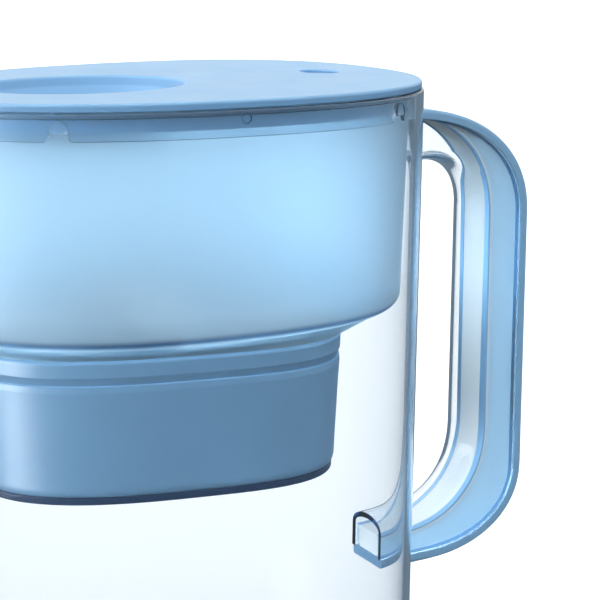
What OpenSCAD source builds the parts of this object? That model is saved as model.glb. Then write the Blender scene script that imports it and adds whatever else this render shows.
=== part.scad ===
// Water filter pitcher: a clear oval jug with a loop handle, a drop-in reservoir with a filter housing
// under it, a cartridge, and a flat lid with a fill flap, a spout flap and a filter-change indicator.
// Millimetres. Z is up, the table is z = 0, the handle points to +X and the spout to -X.

/* [Body] */
// Height of the closed lid's top above the table
total_h = 284; // [270:1:300]
// Half length of the oval body at the lid
body_half_l = 100; // [92:1:108]
// Half width of the oval body at the lid
body_half_w = 78; // [72:1:84]
// Squareness of the oval, where 2 is an ellipse
body_square = 2.32; // [2.1:0.01:2.8]
// Share by which the handle end of the oval is wider than its middle
body_egg = 0.11; // [0.04:0.01:0.16]
// Draft of the jug's wall in degrees
body_draft = 0.66; // [0.3:0.01:1.2]
// Thickness of the jug's wall
jug_wall = 2.6; // [2.2:0.1:3]
// Thickness of the jug's floor
jug_floor = 4; // [3:0.1:6]
// Radius of the jug's bottom edge
base_r = 14; // [8:1:20]
// How far the spout's beak stands out of the oval
beak_len = 11; // [6:0.5:14]
// Half width of the spout's beak
beak_half_w = 17; // [14:0.5:22]
// Height over which the beak grows out of the wall
beak_h = 52; // [35:1:70]

/* [Handle] */
// How far the handle's outer face stands from the body's middle
handle_reach = 167.4; // [160:0.1:175]
// Depth of the handle's top edge below the lid's top
handle_top = 16; // [14:0.5:22]
// Depth of the handle's bottom edge below the lid's top
handle_bottom = 211.5; // [204:0.5:220]
// Width of the handle across the hand
handle_w = 24; // [22:0.5:28]
// Thickness of the hard strip along the outside of the handle
strip_t = 4; // [3:0.1:5]
// Depth of the grip insert at the hand, under the strip
insert_depth = 15.4; // [13:0.1:18]
// Depth of the clear grip, from the handle's outer face to the finger gap
grip_depth = 34.4; // [33:0.1:36]
// Depth of the finger gap's top below the lid's top
gap_top = 34.5; // [33:0.5:38]
// Depth of the finger gap's bottom below the lid's top
gap_bottom = 186; // [180:0.5:190]
// Thickness of the clear channel that carries the insert
channel_wall = 2.4; // [2:0.1:3]

/* [Reservoir] */
// Depth of the reservoir's collar below the lid's top
collar_depth = 12.9; // [12:0.1:15]
// Thickness of the reservoir's collar apron
apron_t = 1.1; // [0.9:0.1:1.3]
// Distance from the apron's inner face to the reservoir's wall
apron_gap = 0.9; // [0.6:0.1:1.2]
// Thickness of the reservoir's wall
tank_wall = 1.8; // [1.5:0.1:2.2]
// Draft of the reservoir's wall in degrees
tank_draft = 1.9; // [1.2:0.1:2.4]
// Depth of the reservoir's outer shoulder below the lid's top
shoulder_depth = 87.2; // [80:0.5:94]
// Radius of the reservoir's lower edge
shoulder_r = 6.5; // [5:0.5:7]
// Fall of the reservoir's floor from its edge to the neck
floor_fall = 4.2; // [3:0.1:6]
// Width of the collar notches and of the jug's lugs in them
notch_w = 7.2; // [6:0.1:9]
// Distance of the front lugs from the spout end of the oval
lug_set_front = 35.5; // [30:0.5:42]
// Distance of the back lugs from the handle end of the oval
lug_set_back = 37; // [32:0.5:42]

/* [Filter housing] */
// Half length of the filter housing's oval
housing_half_l = 68.2; // [64:0.1:72]
// Half width of the filter housing's oval
housing_half_w = 58.7; // [55:0.1:61]
// Squareness of the filter housing's oval
housing_square = 3; // [2.6:0.05:3.4]
// Share by which the housing's handle end is wider
housing_egg = 0.26; // [0.12:0.01:0.28]
// Place of the housing's middle along the body
housing_x = -12.2; // [-16:0.1:-8]
// Draft of the housing's wall in degrees
housing_draft = 2.55; // [1:0.05:3]
// Height of the housing's rim band, with the groove under it
band_h = 9.3; // [8:0.1:11]
// Height of the groove under the rim band
groove_h = 3.2; // [2:0.1:4]
// Depth of the groove under the rim band
groove_d = 0.6; // [0.4:0.1:0.7]
// Depth of the housing's underside below the lid's top
housing_depth = 145.6; // [140:0.1:152]
// Thickness of the housing's wall
housing_wall = 2; // [1.6:0.1:2.4]
// Radius of the housing wall's rounded lower edge
edge_r = 8; // [6:0.5:10]
// Height of the base cap's side under the housing's wall
cap_side_h = 2.4; // [2:0.1:4]
// Outer radius of each outlet nozzle
nozzle_r = 3.4; // [3:0.1:4.5]
// Bore radius of each outlet nozzle
nozzle_bore_r = 2.1; // [1.5:0.1:2.4]
// How far the nozzles reach below the housing
nozzle_drop = 4; // [2:0.5:6]

/* [Cartridge] */
// Clearance between the cartridge and the neck that it drops through
cartridge_gap = 0.4; // [0.3:0.05:0.6]
// Thickness of the cartridge's seal
seal_t = 1.4; // [1.2:0.1:1.8]
// Thickness of the cartridge's shell
shell_wall = 1.6; // [1.4:0.1:2]
// Height of the cartridge's grip arch above its cap
grip_h = 14; // [10:0.5:18]
// Width of the cartridge's grip arch
grip_w = 15; // [12:0.5:18]
// Half span of the cartridge's grip arch
grip_half_span = 27; // [22:0.5:32]
// Length of each water slot in the cartridge's cap
cap_slot_l = 28; // [20:1:32]
// Length of each water slot in the cartridge's bottom
shell_slot_l = 44; // [30:1:50]
// Width of the cartridge's water slots
slot_w = 3; // [2:0.1:4]
// Distance between the cartridge's water slots
slot_pitch = 9; // [8:0.5:10]
// Share of the filter bed that is carbon, above the resin
carbon_share = 0.45; // [0.3:0.05:0.7]

/* [Lid] */
// Thickness of the lid's top plate
lid_t = 2.4; // [2:0.1:2.8]
// Height of the lid's rim band
rim_h = 3; // [2.9:0.1:3.6]
// How far the lid's rim stays inside the jug's outline
rim_inset = 0.8; // [0.5:0.1:1.2]
// Depth of the lid's skirt below its top
skirt_depth = 10.4; // [9:0.1:12]
// Thickness of the lid's skirt
skirt_t = 1.5; // [1.2:0.1:1.8]
// Distance of the filling dish's middle from the spout end of the oval
dish_set = 68; // [65:0.5:72]
// Half length of the filling dish at the lid's top
dish_half_l = 40; // [37:0.5:42]
// Half width of the filling dish at the lid's top
dish_half_w = 33.5; // [31:0.5:36]
// Depth of the filling dish
dish_depth = 14; // [12:0.5:17]
// How far the dish's wall leans in from its rim to its floor
dish_lean = 8; // [7:0.5:9]

/* [Flaps] */
// Half length of the filling opening
fill_half_l = 22; // [20:0.5:23]
// Half width of the filling opening
fill_half_w = 19; // [17:0.5:20]
// Thickness of the fill flap
flap_t = 1.8; // [1.5:0.1:2.1]
// Radius of the fill flap's hinge pin
fill_pin_r = 1.2; // [1:0.1:1.4]
// Radius of the fill flap's hinge barrel
fill_barrel_r = 2.2; // [2:0.1:2.4]
// Half width of the spout flap
spout_flap_half_w = 14; // [12:0.5:16]
// Radius of the spout flap's hinge pin
spout_pin_r = 0.9; // [0.8:0.05:1]
// Radius of the spout flap's hinge barrel
spout_barrel_r = 1.8; // [1.7:0.05:2]

/* [Indicator] */
// Distance of the indicator's middle from the handle end of the oval
indicator_set = 30; // [29:0.5:34]
// Half length of the indicator's window, along the body
window_half_l = 7; // [6:0.1:8]
// Half width of the indicator's window, across the body
window_half_w = 9.5; // [8:0.1:10]
// Depth of the button's face below the lid's top
button_recess = 1.1; // [0.8:0.1:1.4]
// Travel of the button
button_travel = 0.8; // [0.5:0.1:0.9]
// Radius of the indicator's coin cell
cell_r = 10; // [9:0.1:10.2]
// Thickness of the indicator's coin cell
cell_t = 3.2; // [2.5:0.1:3.4]

/* [Hidden] */

$fn = 48;
seg = 64;                       // points round each oval ring
fit = 0.3;                      // rest gap between pieces that seat on one another
slip = 0.05;                    // radial clearance of a pin in its bore
eps = 0.02;                     // overlap that makes a cut run clean through

clear_jug = [0.9, 0.95, 1, 0.3];
frost_blue = [0.63, 0.81, 0.94, 0.8];
lid_blue = [0.7, 0.86, 0.97];
mid_blue = [0.39, 0.56, 0.72];
steel = [0.75, 0.76, 0.78];

// ---- heights, all measured from the table ----
rim_z = total_h - rim_h - fit;              // top of the jug's and the reservoir's rims
collar_z = total_h - collar_depth;          // lower edge of the reservoir's collar
shoulder_z = total_h - shoulder_depth;      // outer edge of the reservoir's underside
neck_z = shoulder_z - floor_fall;           // underside of the reservoir at its neck
land_z = neck_z + tank_wall;                // shelf that the cartridge's flange lies on
band_top_z = neck_z - fit;
band_bottom_z = band_top_z - band_h;
ledge_z = band_bottom_z - 0.2;              // shelf inside the housing under its seal
spigot_z = ledge_z + 1.5;                   // lower end of the reservoir's neck
housing_z = total_h - housing_depth;        // underside of the filter housing
seam_z = housing_z + cap_side_h;            // joint between the housing's wall and its base cap
housing_floor_z = housing_z + housing_wall + 0.2;
dish_z = total_h - dish_depth;              // top of the dish's floor

// ---- places along the body ----
dish_x = dish_set - body_half_l;
indicator_x = body_half_l - indicator_set;
lug_x_front = lug_set_front - body_half_l;
lug_x_back = body_half_l - lug_set_back;

// ---- ovals ----
function spow(v, e) = v < 0 ? -pow(-v, e) : pow(v, e);

// An egg-shaped superellipse as a ring of points, wider towards +X when egg is above 0
function oval(half_l, half_w, square, egg, cx = 0) = [for (i = [0:seg - 1])
    let(t = 360 * i / seg, x = spow(cos(t), 2 / square))
    [cx + half_l * x, half_w * spow(sin(t), 2 / square) * (1 + egg * x)]];
function lift(ring, z) = [for (p = ring) [p[0], p[1], z]];
function blend(a, b, t) = [for (i = [0:len(a) - 1]) a[i] * (1 - t) + b[i] * t];

// The body's outline at a height, inset into the wall, without and with the spout's beak
function shrink(z) = (total_h - z) * tan(body_draft);
function body_l(z) = body_half_l - shrink(z);
function body_plan(inset, z) =
    oval(body_l(z) - inset, body_half_w - shrink(z) - inset, body_square, body_egg);
function beak(z) = beak_len * pow(max(0, (z - rim_z + beak_h) / beak_h), 1.7);
function beaked(ring, z) = [for (p = ring)
    [p[0] < 0 ? p[0] - beak(z) * exp(-pow(p[1] / beak_half_w, 2)) : p[0], p[1]]];
function jug_ring(inset, z) = lift(beaked(body_plan(inset, z), z), z);

// The reservoir's outline: upright walls in the collar, then its own draft
apron_inset = jug_wall + 0.45;
wall_inset = apron_inset + apron_t + apron_gap;
function tank_plan(inset) =
    oval(body_half_l - inset, body_half_w - inset, body_square, body_egg);
function tank_inset(z) = wall_inset + (rim_z - z) * tan(tank_draft);
function collar_ring(inset, z) = lift(tank_plan(inset), z);

// The filter housing's outline, inset from its nominal oval
function housing_plan(inset) = oval(housing_half_l - inset, housing_half_w - inset,
    housing_square, housing_egg, housing_x);
function housing_ring(inset, z) = lift(housing_plan(inset), z);
wall_out = -1.55;                                       // housing's outer face at its top
spigot_out = wall_out + 2.2;                            // reservoir neck's outer face
spigot_in = spigot_out + tank_wall;                     // reservoir neck's inner face
function housing_inset(z) = wall_out + (band_top_z - z) * tan(housing_draft);

// Plain ellipses for the dish, the opening and the indicator
function ellipse(half_l, half_w, cx = 0) = oval(half_l, half_w, 2, 0, cx);
function dish_ring(shift, z) = lift(ellipse(dish_half_l + shift, dish_half_w + shift, dish_x), z);
fill_x = dish_x - 4;
function fill_ring(shift, z) = lift(ellipse(fill_half_l + shift, fill_half_w + shift, fill_x), z);

// ---- skins ----
// A closed skin through rings of points. The ends are closed flat, or joined together in a hoop.
module skin(rings, hoop = false) {
    n = len(rings[0]);
    m = len(rings);
    polyhedron(
        points = [for (r = rings) each r],
        faces = concat(
            [for (j = [0:m - (hoop ? 1 : 2)], i = [0:n - 1])
                let(k = (j + 1) % m, h = (i + 1) % n)
                each [[j * n + i, k * n + i, k * n + h], [j * n + i, k * n + h, j * n + h]]],
            hoop ? [] : [[for (i = [0:n - 1]) i], [for (i = [n - 1:-1:0]) (m - 1) * n + i]]));
}

// An upright band between two outlines
module band(outer, inner, z0, z1) {
    translate([0, 0, z0])
        linear_extrude(z1 - z0)
            difference() {
                polygon(outer);
                polygon(inner);
            }
}

module plate(outline, z0, z1) {
    translate([0, 0, z0]) linear_extrude(z1 - z0) polygon(outline);
}

// ---- the handle's curves, in the XZ plane ----
arc_steps = 9;
loop_square = 2.2;
function corner(cx, cz, half_x, half_z, a) =
    [cx + half_x * spow(cos(a), 2 / loop_square), cz + half_z * spow(sin(a), 2 / loop_square)];

// One side of the loop: a round corner at the top, the upright grip and a round corner at the bottom
function loop_curve(x_max, top_cx, top_cz, top_z, low_cx, low_cz, low_z) = concat(
    [for (i = [0:arc_steps]) corner(top_cx, top_cz, x_max - top_cx, top_z - top_cz,
        90 - 90 * i / arc_steps)],
    [for (i = [0:arc_steps]) corner(low_cx, low_cz, x_max - low_cx, low_cz - low_z,
        -90 * i / arc_steps)]);

loop_top_z = total_h - handle_top;
loop_low_z = total_h - handle_bottom;
gap_top_z = total_h - gap_top;
gap_low_z = total_h - gap_bottom;
grip_x = handle_reach - grip_depth;             // inner face of the clear loop
insert_x = handle_reach - strip_t - insert_depth;
top_cx = body_half_l + 1;
top_cz = loop_top_z - 47.5;
low_cx = body_half_l + 18;
low_cz = loop_low_z + 36.5;

// The loop's outer face, moved in by d
function outer_curve(d) = loop_curve(handle_reach - d, top_cx, top_cz, loop_top_z - d,
    low_cx, low_cz, loop_low_z + d);
// The finger gap's edge
function gap_curve() = loop_curve(grip_x, body_half_l + 12, gap_top_z - 21.5, gap_top_z,
    body_half_l + 5, gap_low_z + 34, gap_low_z);
// The inner edge of the grip insert, which meets the strip at the top
function insert_curve() = loop_curve(insert_x, top_cx, top_cz, loop_top_z - 3.2,
    body_half_l + 5, loop_low_z + 56.5, loop_low_z + 14.3);

// The curve with a start and an end added at the body's side, sunk by a depth into the wall
function rooted(curve, depth) = concat(
    [[body_l(curve[0][1]) - depth, curve[0][1]]],
    curve,
    [[body_l(curve[len(curve) - 1][1]) - depth, curve[len(curve) - 1][1]]]);

// A sweep whose cross-section spans, at each station, the line from an outer to an inner point.
// Each section point is [share of that line, extra length along it, place across the hand].
function station(p, q, section) = let(d = (q - p) / norm(q - p))
    [for (s = section) let(at = p + (q - p) * s[0] + d * s[1]) [at[0], s[2], at[1]]];

// The channel's U: down one side, round the nose, up the other side and back along the inside
nose = 9;
nose_steps = 6;
function u_half(side, wall) = let(w = side - wall)
    concat([[0, 0, w]], [for (i = [0:nose_steps]) let(a = 180 * i / nose_steps)
        [1, -nose + (nose - wall) * sin(a), w * cos(a)]], [[0, 0, -w]]);
function u_section() = concat(u_half(handle_w / 2, 0),
    [for (i = [nose_steps + 2:-1:0]) u_half(handle_w / 2, channel_wall)[i]]);

// A sweep of the U, whose end faces are closed with strips between its outside and inside
module channel_sweep() {
    outer = rooted(outer_curve(strip_t + 0.1), 1.5);
    inner = rooted(gap_curve(), 1.5);
    section = u_section();
    n = len(section);
    m = len(outer);
    polyhedron(
        points = [for (j = [0:m - 1]) each station(outer[j], inner[j], section)],
        faces = concat(
            [for (j = [0:m - 2], i = [0:n - 1]) let(h = (i + 1) % n)
                each [[j * n + i, j * n + h, j * n + n + h], [j * n + i, j * n + n + h, j * n + n + i]]],
            [for (i = [0:n / 2 - 2]) each [[i, n - 1 - i, n - 2 - i], [i, n - 2 - i, i + 1]]],
            [for (i = [0:n / 2 - 2]) let(b = (m - 1) * n)
                each [[b + i, b + i + 1, b + n - 2 - i], [b + i, b + n - 2 - i, b + n - 1 - i]]]));
}

// The hard outer strip: a band with rounded outer edges
module strip_sweep() {
    outer = rooted(outer_curve(0), -fit);
    inner = rooted(outer_curve(strip_t), -fit);
    w = handle_w / 2;
    r = 1.3;
    section = [[1, 0, w], [0, r, w], [0, 0.38 * r, w - 0.38 * r], [0, 0, w - r],
        [0, 0, r - w], [0, 0.38 * r, 0.38 * r - w], [0, r, -w], [1, 0, -w]];
    n = len(section);
    m = len(outer);
    polyhedron(
        points = [for (j = [0:m - 1]) each station(outer[j], inner[j], section)],
        faces = concat(
            [for (j = [0:m - 2], i = [0:n - 1]) let(h = (i + 1) % n)
                each [[j * n + i, j * n + n + h, j * n + h], [j * n + i, j * n + n + i, j * n + n + h]]],
            [[for (i = [0:n - 1]) i], [for (i = [n - 1:-1:0]) (m - 1) * n + i]]));
}

// ---- jug ----
lug_gap = 0.4;                  // room at each side of a lug in its notch
lug_h = 7;                      // height of the lug's arch above the collar's lower edge
lug_foot = 2.4;                 // height of the lug's lower end above the same edge

// Where a lug stands: the point of the outline at a distance along the body, and its outward angle
function side_y(inset, x) = let(half_l = body_half_l - inset, u = x / half_l)
    (body_half_w - inset) * pow(1 - pow(abs(u), body_square), 1 / body_square) * (1 + body_egg * u);
function side_angle(x) = atan2(2, side_y(3, x - 1) - side_y(3, x + 1));

module at_lugs() {
    for (x = [lug_x_front, lug_x_back], s = [1, -1])
        translate([x, s * side_y(apron_inset, x), 0]) rotate([0, 0, s * side_angle(x)]) children();
}

// An arched block that stands on the outline, with its arch's top at z, from in to out across the wall
module arch(width, top_z, bottom_z, in, out) {
    r = width / 2;
    translate([out, 0, 0])
        rotate([0, -90, 0])
            linear_extrude(in + out)
                union() {
                    translate([bottom_z, -r]) square([top_z - r - bottom_z, width]);
                    translate([top_z - r, 0]) circle(r);
                }
}

module jug() {
    r_in = base_r - jug_wall;
    color(clear_jug)
        union() {
            skin(concat(
                [for (a = [0, 22.5, 45, 67.5])
                    jug_ring(base_r * (1 - sin(a)), base_r * (1 - cos(a)))],
                [jug_ring(0, base_r)],
                [for (k = [0, 0.35, 0.6, 0.8]) jug_ring(0, rim_z - beak_h * (1 - k))],
                [jug_ring(0, rim_z - 0.6), jug_ring(0.6, rim_z), jug_ring(jug_wall - 0.6, rim_z),
                    jug_ring(jug_wall, rim_z - 0.6)],
                [for (k = [0.8, 0.6, 0.35, 0]) jug_ring(jug_wall, rim_z - beak_h * (1 - k))],
                [for (a = [90, 60, 30, 0])
                    jug_ring(jug_wall + r_in * (1 - sin(a)), jug_floor + r_in * (1 - cos(a)))]));
            channel_sweep();
            at_lugs()
                arch(notch_w - 2 * lug_gap, collar_z + lug_h, collar_z + lug_foot, apron_t - 0.1, 0.9);
        }
}

// The insert that fills the outer part of the handle's channel
module grip_insert() {
    outer = rooted(outer_curve(strip_t + 0.2), -0.6);
    inner = rooted(insert_curve(), 6);
    w = handle_w - 2 * channel_wall - 0.4;
    color(lid_blue)
        translate([0, w / 2, 0])
            rotate([90, 0, 0])
                linear_extrude(w)
                    difference() {
                        polygon(outer);
                        polygon(inner);
                    }
}

module grip_strip() {
    color(mid_blue) strip_sweep();
}

// ---- reservoir ----
module reservoir() {
    edge = tank_inset(shoulder_z + shoulder_r);
    r_in = shoulder_r - tank_wall * 0.6;
    corner_out = [for (a = [75, 45, 20, 0])
        collar_ring(edge + shoulder_r * (1 - cos(a)), shoulder_z + shoulder_r * (1 - sin(a)))];
    corner_in = [for (a = [0, 30, 60])
        collar_ring(edge + tank_wall + r_in * (1 - cos(a)),
            shoulder_z + shoulder_r - r_in * sin(a) + 0.2)];
    low_out = housing_ring(wall_out - 0.2, neck_z);
    low_in = housing_ring(wall_out + 1.6, land_z);
    color(frost_blue)
        difference() {
            skin(concat(
                [housing_ring(spigot_out, spigot_z), housing_ring(spigot_out, neck_z), low_out],
                [blend(low_out, corner_out[0], 0.5)],
                corner_out,
                [collar_ring(tank_inset(collar_z), collar_z), collar_ring(wall_inset, rim_z - 2),
                    collar_ring(apron_inset + apron_t, rim_z - 2),
                    collar_ring(apron_inset + apron_t, collar_z), collar_ring(apron_inset, collar_z),
                    collar_ring(apron_inset, rim_z - 0.5), collar_ring(apron_inset + 0.5, rim_z),
                    collar_ring(wall_inset + tank_wall, rim_z)],
                corner_in,
                [blend(corner_in[2], low_in, 0.5), low_in, housing_ring(spigot_in, land_z),
                    housing_ring(spigot_in, spigot_z)]),
                hoop = true);
            at_lugs() arch(notch_w, collar_z + lug_h + fit, collar_z - 1, apron_t + apron_gap / 2, 1);
        }
}

module housing_seal() {
    color("dimgray")
        band(housing_plan(spigot_out + 0.1), housing_plan(spigot_in - 0.1), ledge_z, spigot_z);
}

edge_a = 24;                    // turn of the wall's rounded lower edge
edge_top_z = seam_z + edge_r * sin(edge_a);
lip_inset = housing_inset(edge_top_z) + edge_r * (1 - cos(edge_a));     // outer face at the seam

module filter_housing() {
    low = housing_inset(edge_top_z);
    ledge = housing_inset(band_bottom_z);
    color(mid_blue)
        skin([
            for (k = [3:-1:0]) let(a = edge_a * k / 3)
                housing_ring(low + edge_r * (1 - cos(a)), edge_top_z - edge_r * sin(a)),
            housing_ring(ledge, band_bottom_z - 0.3), housing_ring(ledge + 0.3, band_bottom_z),
            housing_ring(ledge + groove_d, band_bottom_z),
            housing_ring(ledge + groove_d, band_bottom_z + groove_h - 0.5),
            housing_ring(housing_inset(band_bottom_z + groove_h), band_bottom_z + groove_h),
            housing_ring(wall_out, band_top_z - 0.8), housing_ring(wall_out + 0.6, band_top_z),
            housing_ring(spigot_out - 0.3, band_top_z), housing_ring(spigot_out - 0.3, ledge_z),
            housing_ring(spigot_in + 0.2, ledge_z), housing_ring(spigot_in + 0.2, ledge_z - 2),
            housing_ring(housing_inset(ledge_z - 5) + housing_wall, ledge_z - 5),
            housing_ring(housing_inset(seam_z) + housing_wall, seam_z)],
            hoop = true);
}

outlets = [[-37, 22], [21, 43]];    // drip outlets, each with a mirrored twin

module at_outlets() {
    for (p = outlets, s = [1, -1]) translate([p[0], s * p[1], 0]) children();
}

// The housing's base cap: a low side, a rim that stands inside the housing's wall, and a floor
module outlet_plate() {
    side = lip_inset + 0.1;
    side_h = cap_side_h - 0.1;
    r = 0.8;
    rim_out = housing_inset(seam_z) + housing_wall + 0.15;
    rim_t = 1.4;
    rim_up = 3;
    color("midnightblue")
        difference() {
            union() {
                skin(concat(
                    [for (a = [90, 60, 30, 0])
                        housing_ring(side + r * (1 - cos(a)), housing_z + r * (1 - sin(a)))],
                    [housing_ring(side, housing_z + side_h),
                        housing_ring(rim_out, housing_z + side_h), housing_ring(rim_out, seam_z + rim_up),
                        housing_ring(rim_out + rim_t, seam_z + rim_up),
                        housing_ring(rim_out + rim_t, housing_floor_z + 1),
                        housing_ring(rim_out + rim_t + 1, housing_floor_z)]));
                at_outlets()
                    translate([0, 0, housing_z - nozzle_drop])
                        cylinder(r = nozzle_r, h = nozzle_drop + 1);
            }
            at_outlets()
                translate([0, 0, housing_z - nozzle_drop - eps])
                    cylinder(r = nozzle_bore_r, h = nozzle_drop + housing_floor_z - housing_z + 1);
        }
}

// ---- cartridge ----
flange_t = 1.8;
flange_z = land_z + 0.1;
shell_out = spigot_in + cartridge_gap + seal_t;
shell_bottom_z = housing_floor_z + fit;
shell_in = shell_out + shell_wall;
bed_top_z = flange_z - 6;
bed_bottom_z = shell_bottom_z + 3;
bed_inset = shell_in + (flange_z - bed_bottom_z) * tan(housing_draft) + 0.3;
function shell_inset(z) = shell_out + (flange_z - z) * tan(housing_draft);

module cartridge_shell() {
    r = 3;
    low = shell_inset(shell_bottom_z + r);
    color("white")
        difference() {
            skin([
                housing_ring(low + r, shell_bottom_z), housing_ring(low + 0.3 * r, shell_bottom_z + 0.3 * r),
                housing_ring(low, shell_bottom_z + r), housing_ring(shell_out, flange_z),
                housing_ring(shell_in, flange_z), housing_ring(low + shell_wall, shell_bottom_z + r),
                housing_ring(low + shell_wall + 0.6, shell_bottom_z + shell_wall)]);
            for (i = [-3:3])
                translate([housing_x + i * slot_pitch - slot_w / 2, -shell_slot_l / 2, shell_bottom_z - 1])
                    cube([slot_w, shell_slot_l, shell_wall + 2]);
        }
}

module cartridge_cap() {
    rib_in = shell_in + 0.2;
    color("white")
        difference() {
            union() {
                plate(housing_plan(wall_out + 2), flange_z, flange_z + flange_t);
                band(housing_plan(rib_in), housing_plan(rib_in + 1.4), flange_z - 3.6, flange_z + eps);
                grip_arch();
            }
            for (i = [-4:4], s = [0, 1])
                if (abs(i) * slot_pitch > (grip_w + slot_w) / 2 + 1)
                    mirror([0, s, 0])
                        translate([housing_x + i * slot_pitch - slot_w / 2, 6, flange_z - 1])
                            cube([slot_w, cap_slot_l, flange_t + 2]);
        }
}

// The arch that the fingers pull the cartridge out by
module grip_arch() {
    foot = flange_z + flange_t - eps;
    half = grip_half_span;
    translate([housing_x + grip_w / 2, 0, foot])
        rotate([0, -90, 0])
            linear_extrude(grip_w)
                difference() {
                    polygon([[0, -half], [0.75 * grip_h, 6 - half], [grip_h, 11 - half],
                        [grip_h, half - 11], [0.75 * grip_h, half - 6], [0, half]]);
                    polygon([[0 - eps, 4 - half], [grip_h - 3.5, 12 - half],
                        [grip_h - 3.5, half - 12], [0 - eps, half - 4]]);
                }
}

module cartridge_seal() {
    color("lightgray")
        band(housing_plan(spigot_in + cartridge_gap), housing_plan(shell_out - 0.02),
            spigot_z + 1, spigot_z + 4.5);
}

module inlet_screen() {
    color("gainsboro") plate(housing_plan(shell_in + 0.8), bed_top_z + 0.3, bed_top_z + 0.9);
}

bed_split_z = bed_top_z - carbon_share * (bed_top_z - bed_bottom_z);

module carbon_bed() {
    color([0.15, 0.15, 0.16]) plate(housing_plan(bed_inset), bed_split_z, bed_top_z);
}

module resin_bed() {
    color("burlywood") plate(housing_plan(bed_inset), bed_bottom_z, bed_split_z);
}

module outlet_screen() {
    color("gainsboro")
        plate(housing_plan(bed_inset + 0.4), shell_bottom_z + shell_wall + 0.1, bed_bottom_z - 0.2);
}

// ---- lid ----
ledge_w = 2;                                            // rebate that the fill flap lies on
flap_z = dish_z - flap_t;                               // underside of the closed fill flap
skirt_inset = wall_inset + tank_wall + 0.4;
fill_pin_x = fill_x + fill_half_l + ledge_w + 4.6;
fill_pin_z = dish_z + fill_barrel_r + 0.5;
fill_barrel_w = 18;
ear_t = 3.2;
ear_gap = 0.3;
spout_pin_x = -(body_half_l - skirt_inset - skirt_t - 5.6);
spout_pin_z = total_h - spout_barrel_r - 0.4;
spout_end_x = spout_pin_x + 2.8;                        // handle end of the spout flap's slot
slot_gap = 0.4;
spout_flap_t = 1.6;
spout_ear_y = spout_flap_half_w + slot_gap;
spout_pin_half = spout_ear_y + 3;
bowl_wall = 2;

// A lug with an eye round a pin that lies across the body, on a foot
module ear(x, z, r, foot_z, y0, y1) {
    translate([x, y0, z])
        rotate([-90, 0, 0])
            cylinder(r = r, h = y1 - y0);
    translate([x - r, y0, min(foot_z, z)]) cube([2 * r, y1 - y0, abs(z - foot_z)]);
}

module cross_bore(x, z, r, half_w) {
    translate([x, -half_w, z]) rotate([-90, 0, 0]) cylinder(r = r, h = 2 * half_w);
}

// The lid's outline, which covers the spout's beak
function lid_plan(d) = beaked(tank_plan(rim_inset + d), rim_z);

module lid_skin() {
    floor_low = dish_z - flap_t - bowl_wall;
    skin(concat(
        [fill_ring(0, floor_low), dish_ring(bowl_wall - dish_lean - 1, floor_low),
            dish_ring(bowl_wall - dish_lean + 1, floor_low + 2.4),
            dish_ring(bowl_wall, total_h - lid_t)],
        [collar_ring(skirt_inset + skirt_t, total_h - lid_t),
            collar_ring(skirt_inset + skirt_t + 0.2, total_h - skirt_depth),
            collar_ring(skirt_inset + 0.3, total_h - skirt_depth),
            collar_ring(skirt_inset, total_h - rim_h)],
        [lift(lid_plan(0), total_h - rim_h), lift(lid_plan(0), total_h - 1),
            lift(lid_plan(0.3), total_h - 0.3), lift(lid_plan(1), total_h)],
        [dish_ring(1.4, total_h), dish_ring(0.4, total_h - 0.4), dish_ring(-0.3, total_h - 1.4),
            dish_ring(1.6 - dish_lean, dish_z + 2), dish_ring(0.6 - dish_lean, dish_z + 0.6),
            dish_ring(-0.6 - dish_lean, dish_z)],
        [fill_ring(ledge_w, dish_z), fill_ring(ledge_w, flap_z), fill_ring(0, flap_z)]),
        hoop = true);
}

// The open-ended slot in the lid that the spout flap lies in
module spout_slot() {
    x0 = -body_half_l - beak_len - 5;
    translate([x0, -spout_ear_y, total_h - rim_h]) cube([spout_end_x - x0, 2 * spout_ear_y, 10]);
}

// Small ring marks on the skirt, half way along each side
module skirt_marks() {
    for (s = [1, -1])
        translate([0, s * side_y(skirt_inset + 0.2, 0), total_h - 7.8])
            rotate([90, 0, 0])
                difference() {
                    cylinder(r = 1.9, h = 1, center = true);
                    cylinder(r = 1.3, h = 2, center = true);
                }
}

module lid() {
    barrel = fill_barrel_w / 2 + ear_gap;
    color(lid_blue)
        difference() {
            union() {
                difference() {
                    lid_skin();
                    spout_slot();
                }
                for (s = [0, 1])
                    mirror([0, s, 0]) {
                        ear(fill_pin_x, fill_pin_z, fill_barrel_r, dish_z - 1, barrel, barrel + ear_t);
                        ear(spout_pin_x, spout_pin_z, spout_barrel_r, total_h - 1,
                            spout_ear_y, spout_pin_half);
                    }
            }
            cross_bore(fill_pin_x, fill_pin_z, fill_pin_r + slip, barrel + ear_t + 1);
            cross_bore(spout_pin_x, spout_pin_z, spout_pin_r + slip, spout_pin_half + eps);
            plate(ellipse(window_half_l, window_half_w, indicator_x), total_h - 5, total_h + 1);
            skirt_marks();
        }
}

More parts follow.
